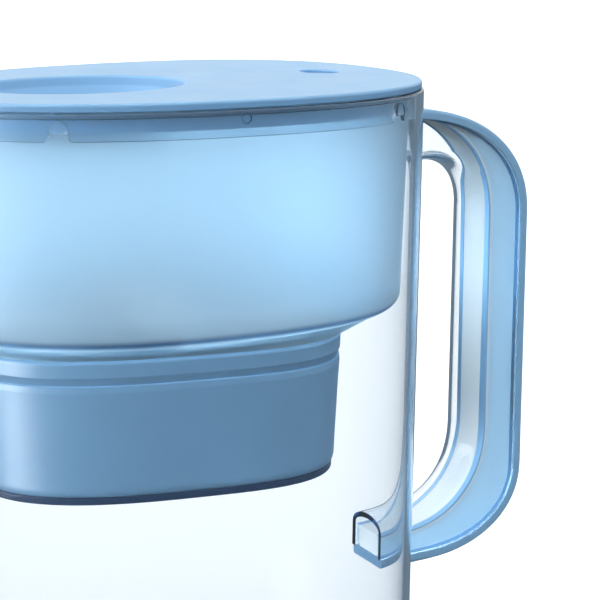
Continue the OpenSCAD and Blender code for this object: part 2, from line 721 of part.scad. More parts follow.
// The flap's plate, a foot on it that carries the arm over the dish's floor to the hinge, and a tab
module fill_flap() {
    half = fill_barrel_w / 2;
    foot_x = fill_x + fill_half_l - 8;
    foot_l = 6;
    arm_t = 1.6;
    tab_w = 16;
    tab_t = 2.2;
    tab_h = 3.6;
    color(lid_blue)
        difference() {
            union() {
                plate(ellipse(fill_half_l + ledge_w - fit, fill_half_w + ledge_w - fit, fill_x),
                    flap_z + 0.1, dish_z);
                translate([foot_x, -half, dish_z - eps]) cube([foot_l, 2 * half, 1]);
                translate([foot_x, -half, dish_z + fit]) cube([fill_pin_x - foot_x, 2 * half, arm_t]);
                cross_bore(fill_pin_x, fill_pin_z, fill_barrel_r, half);
                translate([fill_x - fill_half_l + 1.5, -tab_w / 2, dish_z - eps])
                    cube([tab_t, tab_w, tab_h]);
            }
            cross_bore(fill_pin_x, fill_pin_z, fill_pin_r + slip, half + 1);
        }
}

module fill_flap_pin() {
    color(steel) cross_bore(fill_pin_x, fill_pin_z, fill_pin_r, fill_barrel_w / 2 + ear_gap + ear_t);
}

module spout_flap() {
    color(lid_blue)
        difference() {
            union() {
                intersection() {
                    union() {
                        plate(lid_plan(0), total_h - spout_flap_t, total_h);
                        band(lid_plan(0), lid_plan(1.6), total_h - rim_h, total_h);
                    }
                    translate([-200, -spout_flap_half_w, total_h - 10])
                        cube([200 + spout_pin_x, 2 * spout_flap_half_w, 20]);
                }
                cross_bore(spout_pin_x, spout_pin_z, spout_barrel_r, spout_flap_half_w - ear_gap);
            }
            cross_bore(spout_pin_x, spout_pin_z, spout_pin_r + slip, spout_flap_half_w + 1);
        }
}

module spout_flap_pin() {
    color(steel) cross_bore(spout_pin_x, spout_pin_z, spout_pin_r, spout_pin_half);
}

// ---- filter-change indicator, hung under the lid's plate ----
under_z = total_h - lid_t;
button_flange = 0.9;                                    // how far the button's flange stands out
button_flange_t = 1;
button_flange_z = under_z - 0.2 - button_flange_t;      // underside of the button's flange
dome_h = button_travel + 1;
board_t = 1;
board_z = button_flange_z - dome_h - board_t;
cell_z = board_z - 0.1 - cell_t;
cover_t = 1.4;
cover_z = cell_z - 0.1 - cover_t;
case_half_l = cell_r + 0.8;                             // room for the cell
case_half_w = cell_r + 3.2;
case_wall = 1.2;

function case_plan(d) = ellipse(case_half_l + d, case_half_w + d, indicator_x);
function window_plan(d) = ellipse(window_half_l + d, window_half_w + d, indicator_x);

module indicator_case() {
    color("white")
        union() {
            band(case_plan(case_wall), case_plan(0), cover_z, under_z);
            band(case_plan(0.4), window_plan(button_flange + 0.4), board_z + board_t, under_z);
        }
}

module indicator_cover() {
    color("white")
        difference() {
            plate(case_plan(-0.2), cover_z, cover_z + cover_t);
            translate([indicator_x - 6, -0.9, cover_z - eps]) cube([12, 1.8, 0.8]);
        }
}

module indicator_button() {
    color(mid_blue)
        union() {
            plate(window_plan(-0.35), button_flange_z, total_h - button_recess);
            plate(window_plan(button_flange), button_flange_z, button_flange_z + button_flange_t);
        }
}

// A silicone dome that pushes the button back up
module button_dome() {
    color("lightgray")
        translate([indicator_x, 0, board_z + board_t])
            rotate_extrude()
                polygon([[5, 0], [5, 0.4], [3.2, dome_h], [0, dome_h], [0, dome_h - 0.5],
                    [2.8, dome_h - 0.5], [4.2, 0]]);
}

module circuit_board() {
    color("darkgreen") plate(case_plan(-0.3), board_z, board_z + board_t);
}

module coin_cell() {
    color(steel)
        translate([indicator_x, 0, cell_z])
            union() {
                cylinder(r = cell_r - 1, h = cell_t);
                translate([0, 0, 0.5]) cylinder(r = cell_r, h = cell_t - 0.5);
            }
}

jug();
grip_insert();
grip_strip();
reservoir();
housing_seal();
filter_housing();
outlet_plate();
cartridge_shell();
cartridge_cap();
cartridge_seal();
inlet_screen();
carbon_bed();
resin_bed();
outlet_screen();
lid();
fill_flap();
fill_flap_pin();
spout_flap();
spout_flap_pin();
indicator_case();
indicator_cover();
indicator_button();
button_dome();
circuit_board();
coin_cell();
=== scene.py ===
# %% [markdown]
# Water filter pitcher with a flip lid
#
# The part has a clear jug with a loop handle, a frosted blue reservoir that hangs in its mouth, a filter
# housing under the reservoir with a cartridge in it, and a flat lid with two flaps and a push button.
# The frame holds the exact solids and the joints. Here the pieces that show get finer shapes and real
# finishes, and each one rides on the same body as the solid that it stands for.

import math

import bmesh
import bpy
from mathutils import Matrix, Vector


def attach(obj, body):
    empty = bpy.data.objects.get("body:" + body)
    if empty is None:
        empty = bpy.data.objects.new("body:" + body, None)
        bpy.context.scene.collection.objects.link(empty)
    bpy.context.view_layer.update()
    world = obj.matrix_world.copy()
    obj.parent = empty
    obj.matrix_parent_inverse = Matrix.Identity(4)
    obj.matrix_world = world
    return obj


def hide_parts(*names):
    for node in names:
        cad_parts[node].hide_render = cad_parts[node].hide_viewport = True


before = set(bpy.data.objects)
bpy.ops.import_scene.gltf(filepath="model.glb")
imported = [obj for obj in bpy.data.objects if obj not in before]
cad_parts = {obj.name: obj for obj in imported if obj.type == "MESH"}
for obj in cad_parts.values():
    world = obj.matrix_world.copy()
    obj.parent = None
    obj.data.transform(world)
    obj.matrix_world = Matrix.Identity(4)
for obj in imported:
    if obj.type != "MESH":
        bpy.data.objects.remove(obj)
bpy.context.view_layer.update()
print("solids:", len(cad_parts))

# %% [markdown]
# Sizes
#
# A copy in millimetres of the sizes that the solids were drawn with. Every curve below is worked out from
# them, so that a finer piece lies exactly on the solid that it stands for. Blender works in metres, and
# each point is turned into metres only when it is given to a mesh.

# %% Heights and sizes in millimetres
MM = 0.001
TOTAL = 284.0                               # top of the closed lid
RIM = TOTAL - 3.3                           # top of the jug's and the reservoir's rims
COLLAR = TOTAL - 12.9                       # lower edge of the reservoir's collar
SHOULDER = TOTAL - 87.2                     # outer edge of the reservoir's underside
NECK = SHOULDER - 4.2                       # underside of the reservoir at its neck
LAND = NECK + 1.8                           # inner floor of the reservoir round its neck
BAND_TOP = NECK - 0.3                       # top of the filter housing
BAND_LOW = BAND_TOP - 9.3                   # lower edge of the housing's rim band
LEDGE = BAND_LOW - 0.2                      # ledge that the reservoir's neck stands over
SPIGOT = LEDGE + 1.5                        # lower end of the reservoir's neck
BOTTOM = TOTAL - 145.6                      # underside of the filter housing
SEAM = BOTTOM + 3.0                         # joint between the housing and its base cap
CAP_FLOOR = BOTTOM + 2.2                    # inner floor of the base cap
DISH = TOTAL - 14                           # floor of the filling dish
BAND_H = 3                                  # height of the lid's rim band
JUG_WALL = 2.6
APRON = JUG_WALL + 0.45                     # inset of the collar's outer face
WALL = APRON + 1.1 + 0.9                    # inset of the reservoir's wall
TANK_WALL = 1.8
DISH_X, FILL_X, BUTTON_X = -32.0, -36.0, 70.0
FILL_L = 22                                 # half length of the filling opening
BODY_L, BODY_W = 100, 78                    # half length and half width of the body's oval
BODY_SQUARE, BODY_EGG = 2.32, 0.11          # how square it is, and how much wider at the handle end
BEAK_OUT, BEAK_H, BEAK_W = 11, 52, 17       # reach, height and half width of the spout's beak
BAND_OUT = 1.55                             # how far the housing's band stands out
DRAFT, TANK_DRAFT, HOUSING_DRAFT = (math.tan(math.radians(a)) for a in (0.66, 1.9, 2.55))
print("height", TOTAL, "rim", RIM, "housing", BOTTOM, "to", BAND_TOP)

# %% [markdown]
# Outlines
#
# Jug, reservoir, lid and housing all share one kind of outline: a superellipse, which is squarer than an
# ellipse, made a little wider at the handle end like an egg. An outline is worked out as a ring of points
# at an inset, because nested walls are then the same ring at another inset. The number of points is twice
# the number that the solids have, so that no corner shows in a reflection.

# %% Rings of points
RING = 128


def spow(value, power):
    """A power that keeps the sign."""
    return math.copysign(abs(value) ** power, value)


def oval(half_l, half_w, square=2.0, egg=0.0, cx=0.0):
    """A ring of points: an ellipse where square is 2, and squarer above it."""
    ring = []
    for i in range(RING):
        t = 2 * math.pi * i / RING
        x = spow(math.cos(t), 2 / square)
        ring.append((cx + half_l * x, half_w * spow(math.sin(t), 2 / square) * (1 + egg * x)))
    return ring


def body_oval(inset, z=TOTAL):
    shrink = (TOTAL - z) * DRAFT
    return oval(BODY_L - shrink - inset, BODY_W - shrink - inset, BODY_SQUARE, BODY_EGG)


def beaked(ring, z=RIM):
    """The ring drawn out into the spout's beak, which grows towards the rim."""
    beak = BEAK_OUT * max(0.0, (z - RIM + BEAK_H) / BEAK_H) ** 1.7
    return [(x - beak * math.exp(-(y / BEAK_W) ** 2), y) if x < 0 else (x, y) for x, y in ring]


def jug_plan(inset, z):
    return beaked(body_oval(inset, z), z)


def tank_plan(inset, z=0):
    return body_oval(inset)


def lid_plan(inset, z=0):
    return beaked(body_oval(0.8 + inset))


def straight_plan(half_l, half_w, square=2.0, egg=0.0, cx=0.0):
    """A plan that is the same at every height."""
    return lambda inset, z=0: oval(half_l - inset, half_w - inset, square, egg, cx)


housing_plan = straight_plan(68.2, 58.7, 3, 0.26, -12.2)
dish_plan = straight_plan(40, 33.5, cx=DISH_X)
fill_plan = straight_plan(FILL_L, 19, cx=FILL_X)
button_plan = straight_plan(7, 9.5, cx=BUTTON_X)


def tank_inset(z):
    return WALL + (RIM - z) * TANK_DRAFT


def housing_inset(z):
    return -BAND_OUT + (BAND_TOP - z) * HOUSING_DRAFT


def ring_at(plan, inset, z):
    return [(x, y, z) for x, y in plan(inset, z)]


print("reservoir wall inset at its foot:", round(tank_inset(SHOULDER), 2))

# %% [markdown]
# Profiles
#
# A moulded edge is never sharp. A wall is drawn as a profile of (inset, height, radius) corners, and each
# corner becomes an arc. A guard point on both sides keeps the flats flat under smooth shading.

# %% Round the corners of a profile
def rounded(corners, steps=4, guard=0.25):
    """The profile with an arc of so many steps at each corner that has a radius. Its ends stay sharp."""
    count = len(corners)
    points, reaches = [Vector(c[:2]) for c in corners], []
    for k, corner in enumerate(corners):
        sharp = corner[2] == 0 or k in (0, count - 1)
        before, after = points[k - 1] - points[k], points[(k + 1) % count] - points[k]
        reaches.append(0 if sharp else corner[2] / math.tan(before.angle(after) / 2))
    path = []
    for k, at in enumerate(points):
        if reaches[k] == 0:
            path.append(tuple(at))
            continue
        radius, reach = corners[k][2], reaches[k]
        ways, room = [], []
        for other in (k - 1, (k + 1) % count):
            ways.append((points[other] - at).normalized())
            room.append((points[other] - at).length - reach - reaches[other] > 2 * guard)
        start, end = at + ways[0] * reach, at + ways[1] * reach
        centre = at + (ways[0] + ways[1]).normalized() * math.hypot(radius, reach)
        first = math.atan2(start.y - centre.y, start.x - centre.x)
        last = math.atan2(end.y - centre.y, end.x - centre.x)
        turn = (last - first + math.pi) % (2 * math.pi) - math.pi
        if room[0]:
            path.append(tuple(start + ways[0] * guard))
        for s in range(steps + 1):
            a = first + turn * s / steps
            path.append((centre.x + radius * math.cos(a), centre.y + radius * math.sin(a)))
        if room[1]:
            path.append(tuple(end + ways[1] * guard))
    return path


def with_levels(points, levels):
    """The same profile with a point wherever it crosses one of the levels."""
    out = [points[0]]
    for (x0, z0), (x1, z1) in zip(points, points[1:]):
        between = [z for z in levels if min(z0, z1) + 0.05 < z < max(z0, z1) - 0.05]
        for z in sorted(between, reverse=z1 < z0):
            out.append((x0 + (x1 - x0) * (z - z0) / (z1 - z0), z))
        out.append((x1, z1))
    return out


def rings_of(plan, points):
    return [ring_at(plan, inset, z) for inset, z in points]


# %% [markdown]
# From rings to a mesh
#
# By hand, such a wall is made from a circle that is extruded and scaled again and again. The same is done
# here: a circle is added, its edge loop is extruded, and each new loop is laid on the next ring. Every
# corner keeps its number in an attribute, so that a loop can be laid point by point. A hoop is closed by
# laying the last loop on the first and merging them. An open shape keeps a face at each end.

# %% Selection and rings
def nothing_selected():
    if bpy.context.mode != "OBJECT":
        bpy.ops.object.mode_set(mode="OBJECT")
    bpy.ops.object.select_all(action="DESELECT")


def pick(*pieces):
    nothing_selected()
    for piece in pieces:
        piece.select_set(True)
    bpy.context.view_layer.objects.active = pieces[0]


def lay(piece, ring):
    """Put the selected loop's corners on the ring's points."""
    mesh = bmesh.from_edit_mesh(piece.data)
    place = mesh.verts.layers.int["place"]
    for corner in mesh.verts:
        if corner.select:
            corner.co = Vector(ring[corner[place]]) * MM
    bmesh.update_edit_mesh(piece.data)


def start_ring(name, ring):
    """A new piece in edit mode: a circle whose corners are numbered and laid on the ring."""
    nothing_selected()
    bpy.ops.mesh.primitive_circle_add(vertices=len(ring), radius=0.05)
    piece = bpy.context.object
    piece.name = piece.data.name = name
    numbers = piece.data.attributes.new("place", "INT", "POINT")
    numbers.data.foreach_set("value", list(range(len(ring))))
    bpy.ops.object.mode_set(mode="EDIT")
    bpy.ops.mesh.select_all(action="SELECT")
    lay(piece, ring)
    return piece


def close_mesh(piece):
    """Merge the doubles, point the faces outwards and leave edit mode."""
    bpy.ops.mesh.select_all(action="SELECT")
    bpy.ops.mesh.remove_doubles(threshold=1e-6)
    bpy.ops.mesh.normals_make_consistent(inside=False)
    if bmesh.from_edit_mesh(piece.data).calc_volume(signed=True) < 0:
        bpy.ops.mesh.flip_normals()          # a cup can fool the recalculation, its volume can't
    bpy.ops.object.mode_set(mode="OBJECT")
    return piece


def loft(name, rings, hoop=False):
    """A skin over rings of points: closed by a face at both ends, or a hoop whose last ring is its first."""
    piece = start_ring(name, rings[0])
    if not hoop:
        bpy.ops.mesh.edge_face_add()
    for ring in rings[1:] + (rings[:1] if hoop else []):
        bpy.ops.mesh.extrude_region_move()
        lay(piece, ring)
    return close_mesh(piece)


def prism(name, outline, push):
    """A flat outline, filled and extruded by a vector."""
    piece = start_ring(name, outline)
    bpy.ops.mesh.edge_face_add()
    bpy.ops.mesh.extrude_region_move()
    bpy.ops.transform.translate(value=Vector(push) * MM)
    return close_mesh(piece)


def box(name, low, high):
    (x0, y0, z0), (x1, y1, z1) = low, high
    return prism(name, [(x0, y0, z0), (x1, y0, z0), (x1, y1, z0), (x0, y1, z0)], (0, 0, z1 - z0))


# %% Cuts, joins and round edges
def combine(piece, operation, *others):
    """Join, cut or intersect a piece with others, which are used up."""
    for other in others:
        pick(piece)
        step = piece.modifiers.new("combine", "BOOLEAN")
        step.operation, step.solver, step.object = operation, "EXACT", other
        bpy.ops.object.modifier_apply(modifier=step.name)
        bpy.data.objects.remove(other)
    return piece


def soften(piece, width, steps=3, angle=40):
    """Round the edges that are sharper than the angle in degrees."""
    pick(piece)
    step = piece.modifiers.new("soften", "BEVEL")
    step.width, step.segments, step.limit_method = width * MM, steps, "ANGLE"
    step.angle_limit = math.radians(angle)
    bpy.ops.object.modifier_apply(modifier=step.name)
    return piece


def volume(piece):
    """Cubic centimetres inside the mesh: above 0 when its faces point outwards."""
    mesh = bmesh.new()
    mesh.from_mesh(piece.data)
    inside = mesh.calc_volume(signed=True) * 1e6
    mesh.free()
    return inside


def finish_piece(piece, body, solid, finish, angle=34):
    """Shade a piece smooth, give it its finish and put it in its solid's place."""
    pick(piece)
    bpy.ops.object.shade_smooth_by_angle(angle=math.radians(angle))
    if "place" in piece.data.attributes:
        piece.data.attributes.remove(piece.data.attributes["place"])
    piece.data.materials.clear()
    piece.data.materials.append(finish)
    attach(piece, body)
    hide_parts(solid)
    print(f"{piece.name}: {len(piece.data.polygons)} faces, {volume(piece):.1f} cm3, on {body}")
    return piece


# %% [markdown]
# Materials
#
# Every finish is worked out from where a point is on the piece, so there are no pictures. Each shader gets
# its fixed numbers straight on its own sockets. What changes over a surface, such as the fine spark
# texture of a mould, comes from noise and reaches only colour, roughness and the bump.

# %% Shader helpers
def new_finish(name):
    finish = bpy.data.materials.new(name)
    finish.use_nodes = True
    finish.node_tree.nodes.clear()
    return finish, finish.node_tree


def give(tree, target, value):
    """Wire a socket to the target, or set the target to a number, a vector or a colour."""
    if isinstance(value, bpy.types.NodeSocket):
        tree.links.new(value, target)
    else:
        target.default_value = (*value, 1) if isinstance(value, tuple) else value


def add(tree, kind, *firsts, **values):
    """A new node. What has a socket's name goes to that socket, and what hasn't is the node's own
    setting. The rest goes to its first sockets, in their order."""
    made = tree.nodes.new("ShaderNode" + kind)
    for key, value in values.items():
        name = key.replace("_", " ")
        if name in made.inputs:
            give(tree, made.inputs[name], value)
        else:
            setattr(made, key, value)
    for target, value in zip(made.inputs, firsts):
        give(tree, target, value)
    return made


def fed(tree, kind, *firsts, **values):
    """What a new node puts out first."""
    return add(tree, kind, *firsts, **values).outputs[0]


def hand_over(finish, *shaders):
    """End a finish in its surface and, if there is one, its inside."""
    add(finish.node_tree, "OutputMaterial", *shaders)
    return finish


# %% Patterns and tones
def place_on(tree):
    return add(tree, "TexCoord").outputs["Object"]


def noise(tree, scale):
    return fed(tree, "TexNoise", place_on(tree), Scale=scale, Detail=2.0, Roughness=0.5)


def spread(tree, source, low, high, start=0.3, end=0.7, blend="LINEAR"):
    """What runs from start to end is spread from low to high."""
    return fed(tree, "MapRange", source, interpolation_type=blend, From_Min=start, From_Max=end,
               To_Min=low, To_Max=high)


def two_tones(tree, factor, first, second, blend="MIX"):
    return fed(tree, "MixRGB", factor, first, second, blend_type=blend)


def height_tones(tree, stops):
    """Colours that change with the height on the piece, from (height in millimetres, colour) stops."""
    height = add(tree, "SeparateXYZ", place_on(tree)).outputs["Z"]
    low, high = stops[0][0], stops[-1][0]
    ramp = add(tree, "ValToRGB", spread(tree, height, 0, 1, low * MM, high * MM))
    points = ramp.color_ramp.elements
    while len(points) < len(stops):
        points.new(0.5)
    for point, (level, colour) in zip(points, stops):
        point.position, point.color = (level - low) / (high - low), (*colour, 1)
    return ramp.outputs["Color"]


def raised(tree, height, strength, depth, inwards=False):
    """A bump from a pattern's height, depth in millimetres."""
    return fed(tree, "Bump", Height=height, Strength=strength, Distance=depth * MM, invert=inwards)


def grain(tree, scale, strength, depth=0.1):
    return raised(tree, noise(tree, scale), strength, depth)


def shade(colour, amount):
    return tuple(min(1.0, c * amount) for c in colour)


def drifting(tree, colour, drift):
    return two_tones(tree, spread(tree, noise(tree, 30), 0, 1), shade(colour, 1 - drift),
                     shade(colour, 1 + drift))


# %% [markdown]
# Opaque moulded plastic
#
# The lid, the housing and the strip on the handle are one family: coloured right through, with a fine
# spark texture that spreads the highlights. The colour drifts by a few per cent, as in a real moulding,
# and the roughness drifts with it.

# %% Satin plastics
def satin_plastic(name, colour, roughness=0.36, drift=0.03, grain_scale=2600, grain_strength=0.12,
                  levels=None):
    finish, tree = new_finish(name)
    tone = drifting(tree, colour, drift)
    # levels multiply the colour by height: on the lid they paint shade on the rim band
    if levels:
        tone = two_tones(tree, 1, tone, height_tones(tree, levels), "MULTIPLY")
    return hand_over(finish, fed(
        tree, "BsdfPrincipled", IOR=1.55, Base_Color=tone, Normal=grain(tree, grain_scale, grain_strength),
        Roughness=spread(tree, noise(tree, 55), roughness - 0.03, roughness + 0.04)))


LID_BLUE, MID_BLUE, NAVY_AND_SHADE = (0.25, 0.5, 0.78), (0.24, 0.46, 0.7), (0.012, 0.035, 0.09)
AS_IS, RIM_PAINTED_SHADE = (1, 1, 1), (0.72, 0.78, 0.84)         # painted shade: the lid's rim band, which faces away from the light, is darkened by height
RIM_SHADE_LEVELS = [(TOTAL - 4, AS_IS), (TOTAL - 3.2, RIM_PAINTED_SHADE), (TOTAL - 1.3, RIM_PAINTED_SHADE), (TOTAL - 0.5, AS_IS)]
light_blue = satin_plastic("light_blue_plastic", LID_BLUE, levels=RIM_SHADE_LEVELS)
mid_blue = satin_plastic("mid_blue_plastic", MID_BLUE, 0.4)
# Painted shade: the button is a deeper blue than the lid, for the shade of the hollow it sits in
button_blue_painted_shade = satin_plastic("button_blue_plastic", (0.1, 0.3, 0.62), 0.32)
# The base cap's near-black navy is partly its own colour and partly painted shade for the gap under the
# housing
navy_and_shade = satin_plastic("navy_plastic", NAVY_AND_SHADE, 0.42)
white = satin_plastic("white_plastic", (0.86, 0.88, 0.9), 0.4)
rubber = satin_plastic("grey_rubber", (0.12, 0.13, 0.14), 0.62, 0.08, 1500, 0.3)
silicone = satin_plastic("silicone", (0.7, 0.72, 0.74), 0.5, 0.04, 1800, 0.2)
board_green = satin_plastic("board_green", (0.03, 0.22, 0.08), 0.35, 0.15, 900, 0.1)
print("opaque plastics:", len(bpy.data.materials))

# %% [markdown]
# Clear plastic
#
# The jug is clear plastic with a hint of blue, which shows only where the sight line runs a long way
# through it, such as along a wall. That is volume absorption. Light from a lamp would be stopped by a
# glass shader, so for shadow rays it is swapped for a transparent one: the pieces inside stay lit.
#
# The reservoir is frosted, but the outer wall of its collar is polished. Two attributes of its mesh say
# where that wall is and where a near-black line of painted shade runs along its cut edges, because a line
# that follows a cut-out can't be worked out from the place alone. Towards the foot, the frosted wall gets
# painted shade by height: a deeper blue on the underside and a dark band along the round lower edge.

# %% Clear and frosted plastics
# Painted shade: a deeper blue for the underside, a dark band for the round foot, a near-black line for the
# collar's cut edges
SLOPE_PAINTED_SHADE, FOOT_PAINTED_SHADE, EDGE_LINE_PAINTED_SHADE = (0.5, 0.8, 1.0), (0.03, 0.1, 0.22), (0.01, 0.04, 0.1)
CLEAR_KEEPS, FROST_KEEPS = (0.975, 0.99, 1), (0.95, 0.975, 0.99)    # of the light of a lamp
POLISHED = 0.04


def lit_through(tree, shader, colour):
    """The shader, swapped for a transparent one on the way to a lamp."""
    return fed(tree, "MixShader", add(tree, "LightPath").outputs["Is Shadow Ray"], shader,
               fed(tree, "BsdfTransparent", Color=colour))


def clear_plastic(name, tint, depth_colour, density):
    finish, tree = new_finish(name)
    shader = fed(tree, "BsdfPrincipled", Roughness=0.0, IOR=1.49, Base_Color=tint, Transmission_Weight=1,
                 Normal=grain(tree, 14, 0.02, 0.3))
    return hand_over(finish, lit_through(tree, shader, CLEAR_KEEPS),
                     fed(tree, "VolumeAbsorption", Density=density, Color=depth_colour))


def frosted_plastic(name, clear_colour, frost_colour, frost_roughness):
    finish, tree = new_finish(name)
    # collar marks the polished wall, and the edge attribute marks the line of painted shade along its cut
    # edges
    collar, edge = (add(tree, "Attribute", attribute_name=where).outputs["Fac"]
                    for where in ("collar", "collar_edge_painted_shade"))
    # The frosted colour with painted shade by height, darkest where the round foot turns away from the light
    frost_and_painted_shade = height_tones(tree, [
        (NECK, SLOPE_PAINTED_SHADE), (SHOULDER + 0.8, SLOPE_PAINTED_SHADE), (SHOULDER + 2.2, FOOT_PAINTED_SHADE),
        (SHOULDER + 3.2, FOOT_PAINTED_SHADE), (SHOULDER + 4.8, shade(frost_colour, 0.8)),
        (SHOULDER + 12, frost_colour)])
    shader = fed(tree, "BsdfPrincipled", IOR=1.45, Normal=grain(tree, 2200, 0.15),
                 Base_Color=two_tones(tree, edge, two_tones(tree, collar, frost_and_painted_shade, clear_colour), EDGE_LINE_PAINTED_SHADE),
                 Transmission_Weight=spread(tree, collar, 0.88, 1.0, 0, 1),
                 Roughness=spread(tree, collar, frost_roughness, POLISHED, 0, 1))
    return hand_over(finish, lit_through(tree, shader, FROST_KEEPS))


def milky_plastic(name, colour, through, roughness=0.6):
    finish, tree = new_finish(name)
    shader = fed(tree, "BsdfPrincipled", IOR=1.4, Roughness=roughness, Transmission_Weight=through,
                 Base_Color=drifting(tree, colour, 0.02), Normal=grain(tree, 2400, 0.1))
    return hand_over(finish, lit_through(tree, shader, shade(colour, 1.05)))


clear = clear_plastic("clear_plastic", (0.985, 0.993, 1.0), (0.3, 0.66, 0.93), 30)
frosted = frosted_plastic("frosted_blue_plastic", (0.82, 0.91, 0.98), (0.66, 0.85, 0.97), 0.42)
insert_blue = milky_plastic("translucent_blue_plastic", (0.66, 0.83, 0.94), 0.6, 0.4)
insert_white = milky_plastic("translucent_white_plastic", (0.98, 0.975, 0.96), 0.3)
print("finishes so far:", len(bpy.data.materials))

# %% [markdown]
# Metal, granules and mesh
#
# These sit inside the cartridge and the hinges. Carbon is black grit and resin is amber beads; each grain
# is painted lighter in its middle and darker at its rim, a painted highlight and a painted shade between
# the grains. The screens are a square weave, and the pins and the coin cell are brushed steel.

# %% Inner finishes
def steel_finish():
    finish, tree = new_finish("steel")
    return hand_over(finish, fed(
        tree, "BsdfPrincipled", Metallic=1.0, Roughness=spread(tree, noise(tree, 1400), 0.24, 0.4),
        Base_Color=two_tones(tree, noise(tree, 900), (0.62, 0.63, 0.65), (0.78, 0.79, 0.8))))


def granules(name, dark, bright, scale, roughness):
    finish, tree = new_finish(name)
    cells = fed(tree, "TexVoronoi", place_on(tree), Scale=scale)
    # Painted highlight and shade: each cell is lighter at its middle and darker towards its edge, where
    # grains meet
    return hand_over(finish, fed(
        tree, "BsdfPrincipled", Roughness=roughness, Normal=raised(tree, cells, 0.9, 0.5, True),
        Base_Color=two_tones(tree, spread(tree, cells, 1, 0, 0.1, 0.6), dark, bright)))


def woven_mesh():
    finish, tree = new_finish("screen_mesh")
    where = place_on(tree)
    threads = [add(tree, "TexWave", where, Scale=160, bands_direction=axis).outputs["Fac"] for axis in "XY"]
    weave = fed(tree, "Math", *threads, operation="MAXIMUM")
    return hand_over(finish, fed(
        tree, "BsdfPrincipled", Roughness=0.5, Normal=raised(tree, weave, 0.6, 0.2),
        Base_Color=two_tones(tree, weave, (0.25, 0.27, 0.3), (0.85, 0.87, 0.9))))


steel = steel_finish()
carbon = granules("carbon_granules", (0.004, 0.004, 0.005), (0.05, 0.05, 0.055), 1100, 0.45)
resin = granules("resin_beads", (0.3, 0.15, 0.04), (0.75, 0.5, 0.22), 1400, 0.3)
mesh_finish = woven_mesh()

CAD_FINISHES = {
    "housing_seal": silicone, "cartridge_seal": rubber, "cartridge_shell": white, "cartridge_cap": white,
    "inlet_screen": mesh_finish, "outlet_screen": mesh_finish, "carbon_bed": carbon, "resin_bed": resin,
    "fill_flap_pin": steel, "spout_flap_pin": steel, "indicator_case": white, "indicator_cover": white,
    "button_dome": silicone, "circuit_board": board_green, "coin_cell": steel,
}
for name, finish in CAD_FINISHES.items():
    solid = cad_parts[name]
    for slot in solid.material_slots:
        slot.link = "OBJECT"
        slot.material = finish
print("finishes on solids that stay:", len(CAD_FINISHES))

# %% [markdown]
# The handle's curves
#
# The handle is a loop in the XZ plane. Its outer face, the inner edge of the blue insert and the edge of
# the finger gap are three curves with round corners, each a quarter of a superellipse at the top and at
# the bottom. A section is laid across from one curve to another, so that the loop keeps its depth.

# %% Loop curves
ARC, LOOP_SQUARE = 26, 2.2                  # points on a corner, and how square it is


def quarter(cx, cz, half_x, half_z, degrees):
    a = math.radians(degrees)
    return Vector((cx + half_x * spow(math.cos(a), 2 / LOOP_SQUARE),
                   cz + half_z * spow(math.sin(a), 2 / LOOP_SQUARE)))


def side_loop(x_max, top, top_z, low, low_z, root):
    """A loop in the XZ plane from the jug's wall and back, with its two corners' centres given."""
    upper = [quarter(*top, x_max - top[0], top_z - top[1], 90 - 90 * i / ARC) for i in range(ARC + 1)]
    lower = [quarter(*low, x_max - low[0], low[1] - low_z, -90 * i / ARC) for i in range(ARC + 1)]
    ends = [Vector((BODY_L - (TOTAL - p.y) * DRAFT - root, p.y)) for p in (upper[0], lower[-1])]
    return [ends[0], *upper, *lower, ends[1]]


LOOP_TOP, LOOP_LOW, REACH = TOTAL - 16, TOTAL - 211.5, 167.4        # the handle's outer face
TOP_CENTRE, LOW_CENTRE = (101, LOOP_TOP - 47.5), (118, LOOP_LOW + 36.5)
GAP_TOP, GAP_LOW, GRIP_DEEP = TOTAL - 38.5, TOTAL - 190, 26.2       # the finger gap
STRIP_DEEP = 4


def outer_loop(inset, root):
    return side_loop(REACH - inset, TOP_CENTRE, LOOP_TOP - inset, LOW_CENTRE, LOOP_LOW + inset, root)


def gap_loop(root):
    return side_loop(REACH - GRIP_DEEP, (116, GAP_TOP - 21.5), GAP_TOP, (108, GAP_LOW + 36), GAP_LOW, root)


def insert_loop(root, inset=0.0):
    return side_loop(REACH - STRIP_DEEP - 15.4 + inset, TOP_CENTRE, LOOP_TOP - 3.2 + inset,
                     (105, LOOP_LOW + 56.5), LOOP_LOW + 14.3 - inset, root)


def station(p, q, section):
    """A section of (share of the way from p to q, millimetres more, place across) laid at one station."""
    way = (q - p).normalized()
    ring = []
    for share, extra, across in section:
        at = p + (q - p) * share + way * extra
        ring.append((at.x, across, at.y))
    return ring


print("loop points:", len(outer_loop(0, 0)), "gap height:", GAP_TOP - GAP_LOW)

# %% [markdown]
# Jug
#
# The jug is one clear moulding: an oval body with a slight draft, a beak for the spout, four small lugs
# that hold the reservoir's collar, and the channel of the handle. The body and the channel are lofted
# and then joined with an exact boolean, because an inner wall left inside clear plastic would show.

# %% Jug body
wall_levels = [6, 20, 60, 100, 150, 200]
beak_levels = [RIM - BEAK_H * (1 - k / 12) for k in range(12)]
jug_profile = with_levels(
    rounded([(24, 0, 0), (0, 0, 14), (0, RIM, 0.9), (JUG_WALL, RIM, 0.9), (JUG_WALL, 4, 11.4), (24, 4, 0)],
            steps=7), wall_levels + beak_levels)
jug = loft("jug_clear", rings_of(jug_plan, jug_profile))

# %% Handle channel
NOSE, NOSE_STEPS = 6, 14                    # how far the U's round side runs, and its steps
HALF_GRIP, CHANNEL_WALL, ROOT = 12, 2.4, 1.5


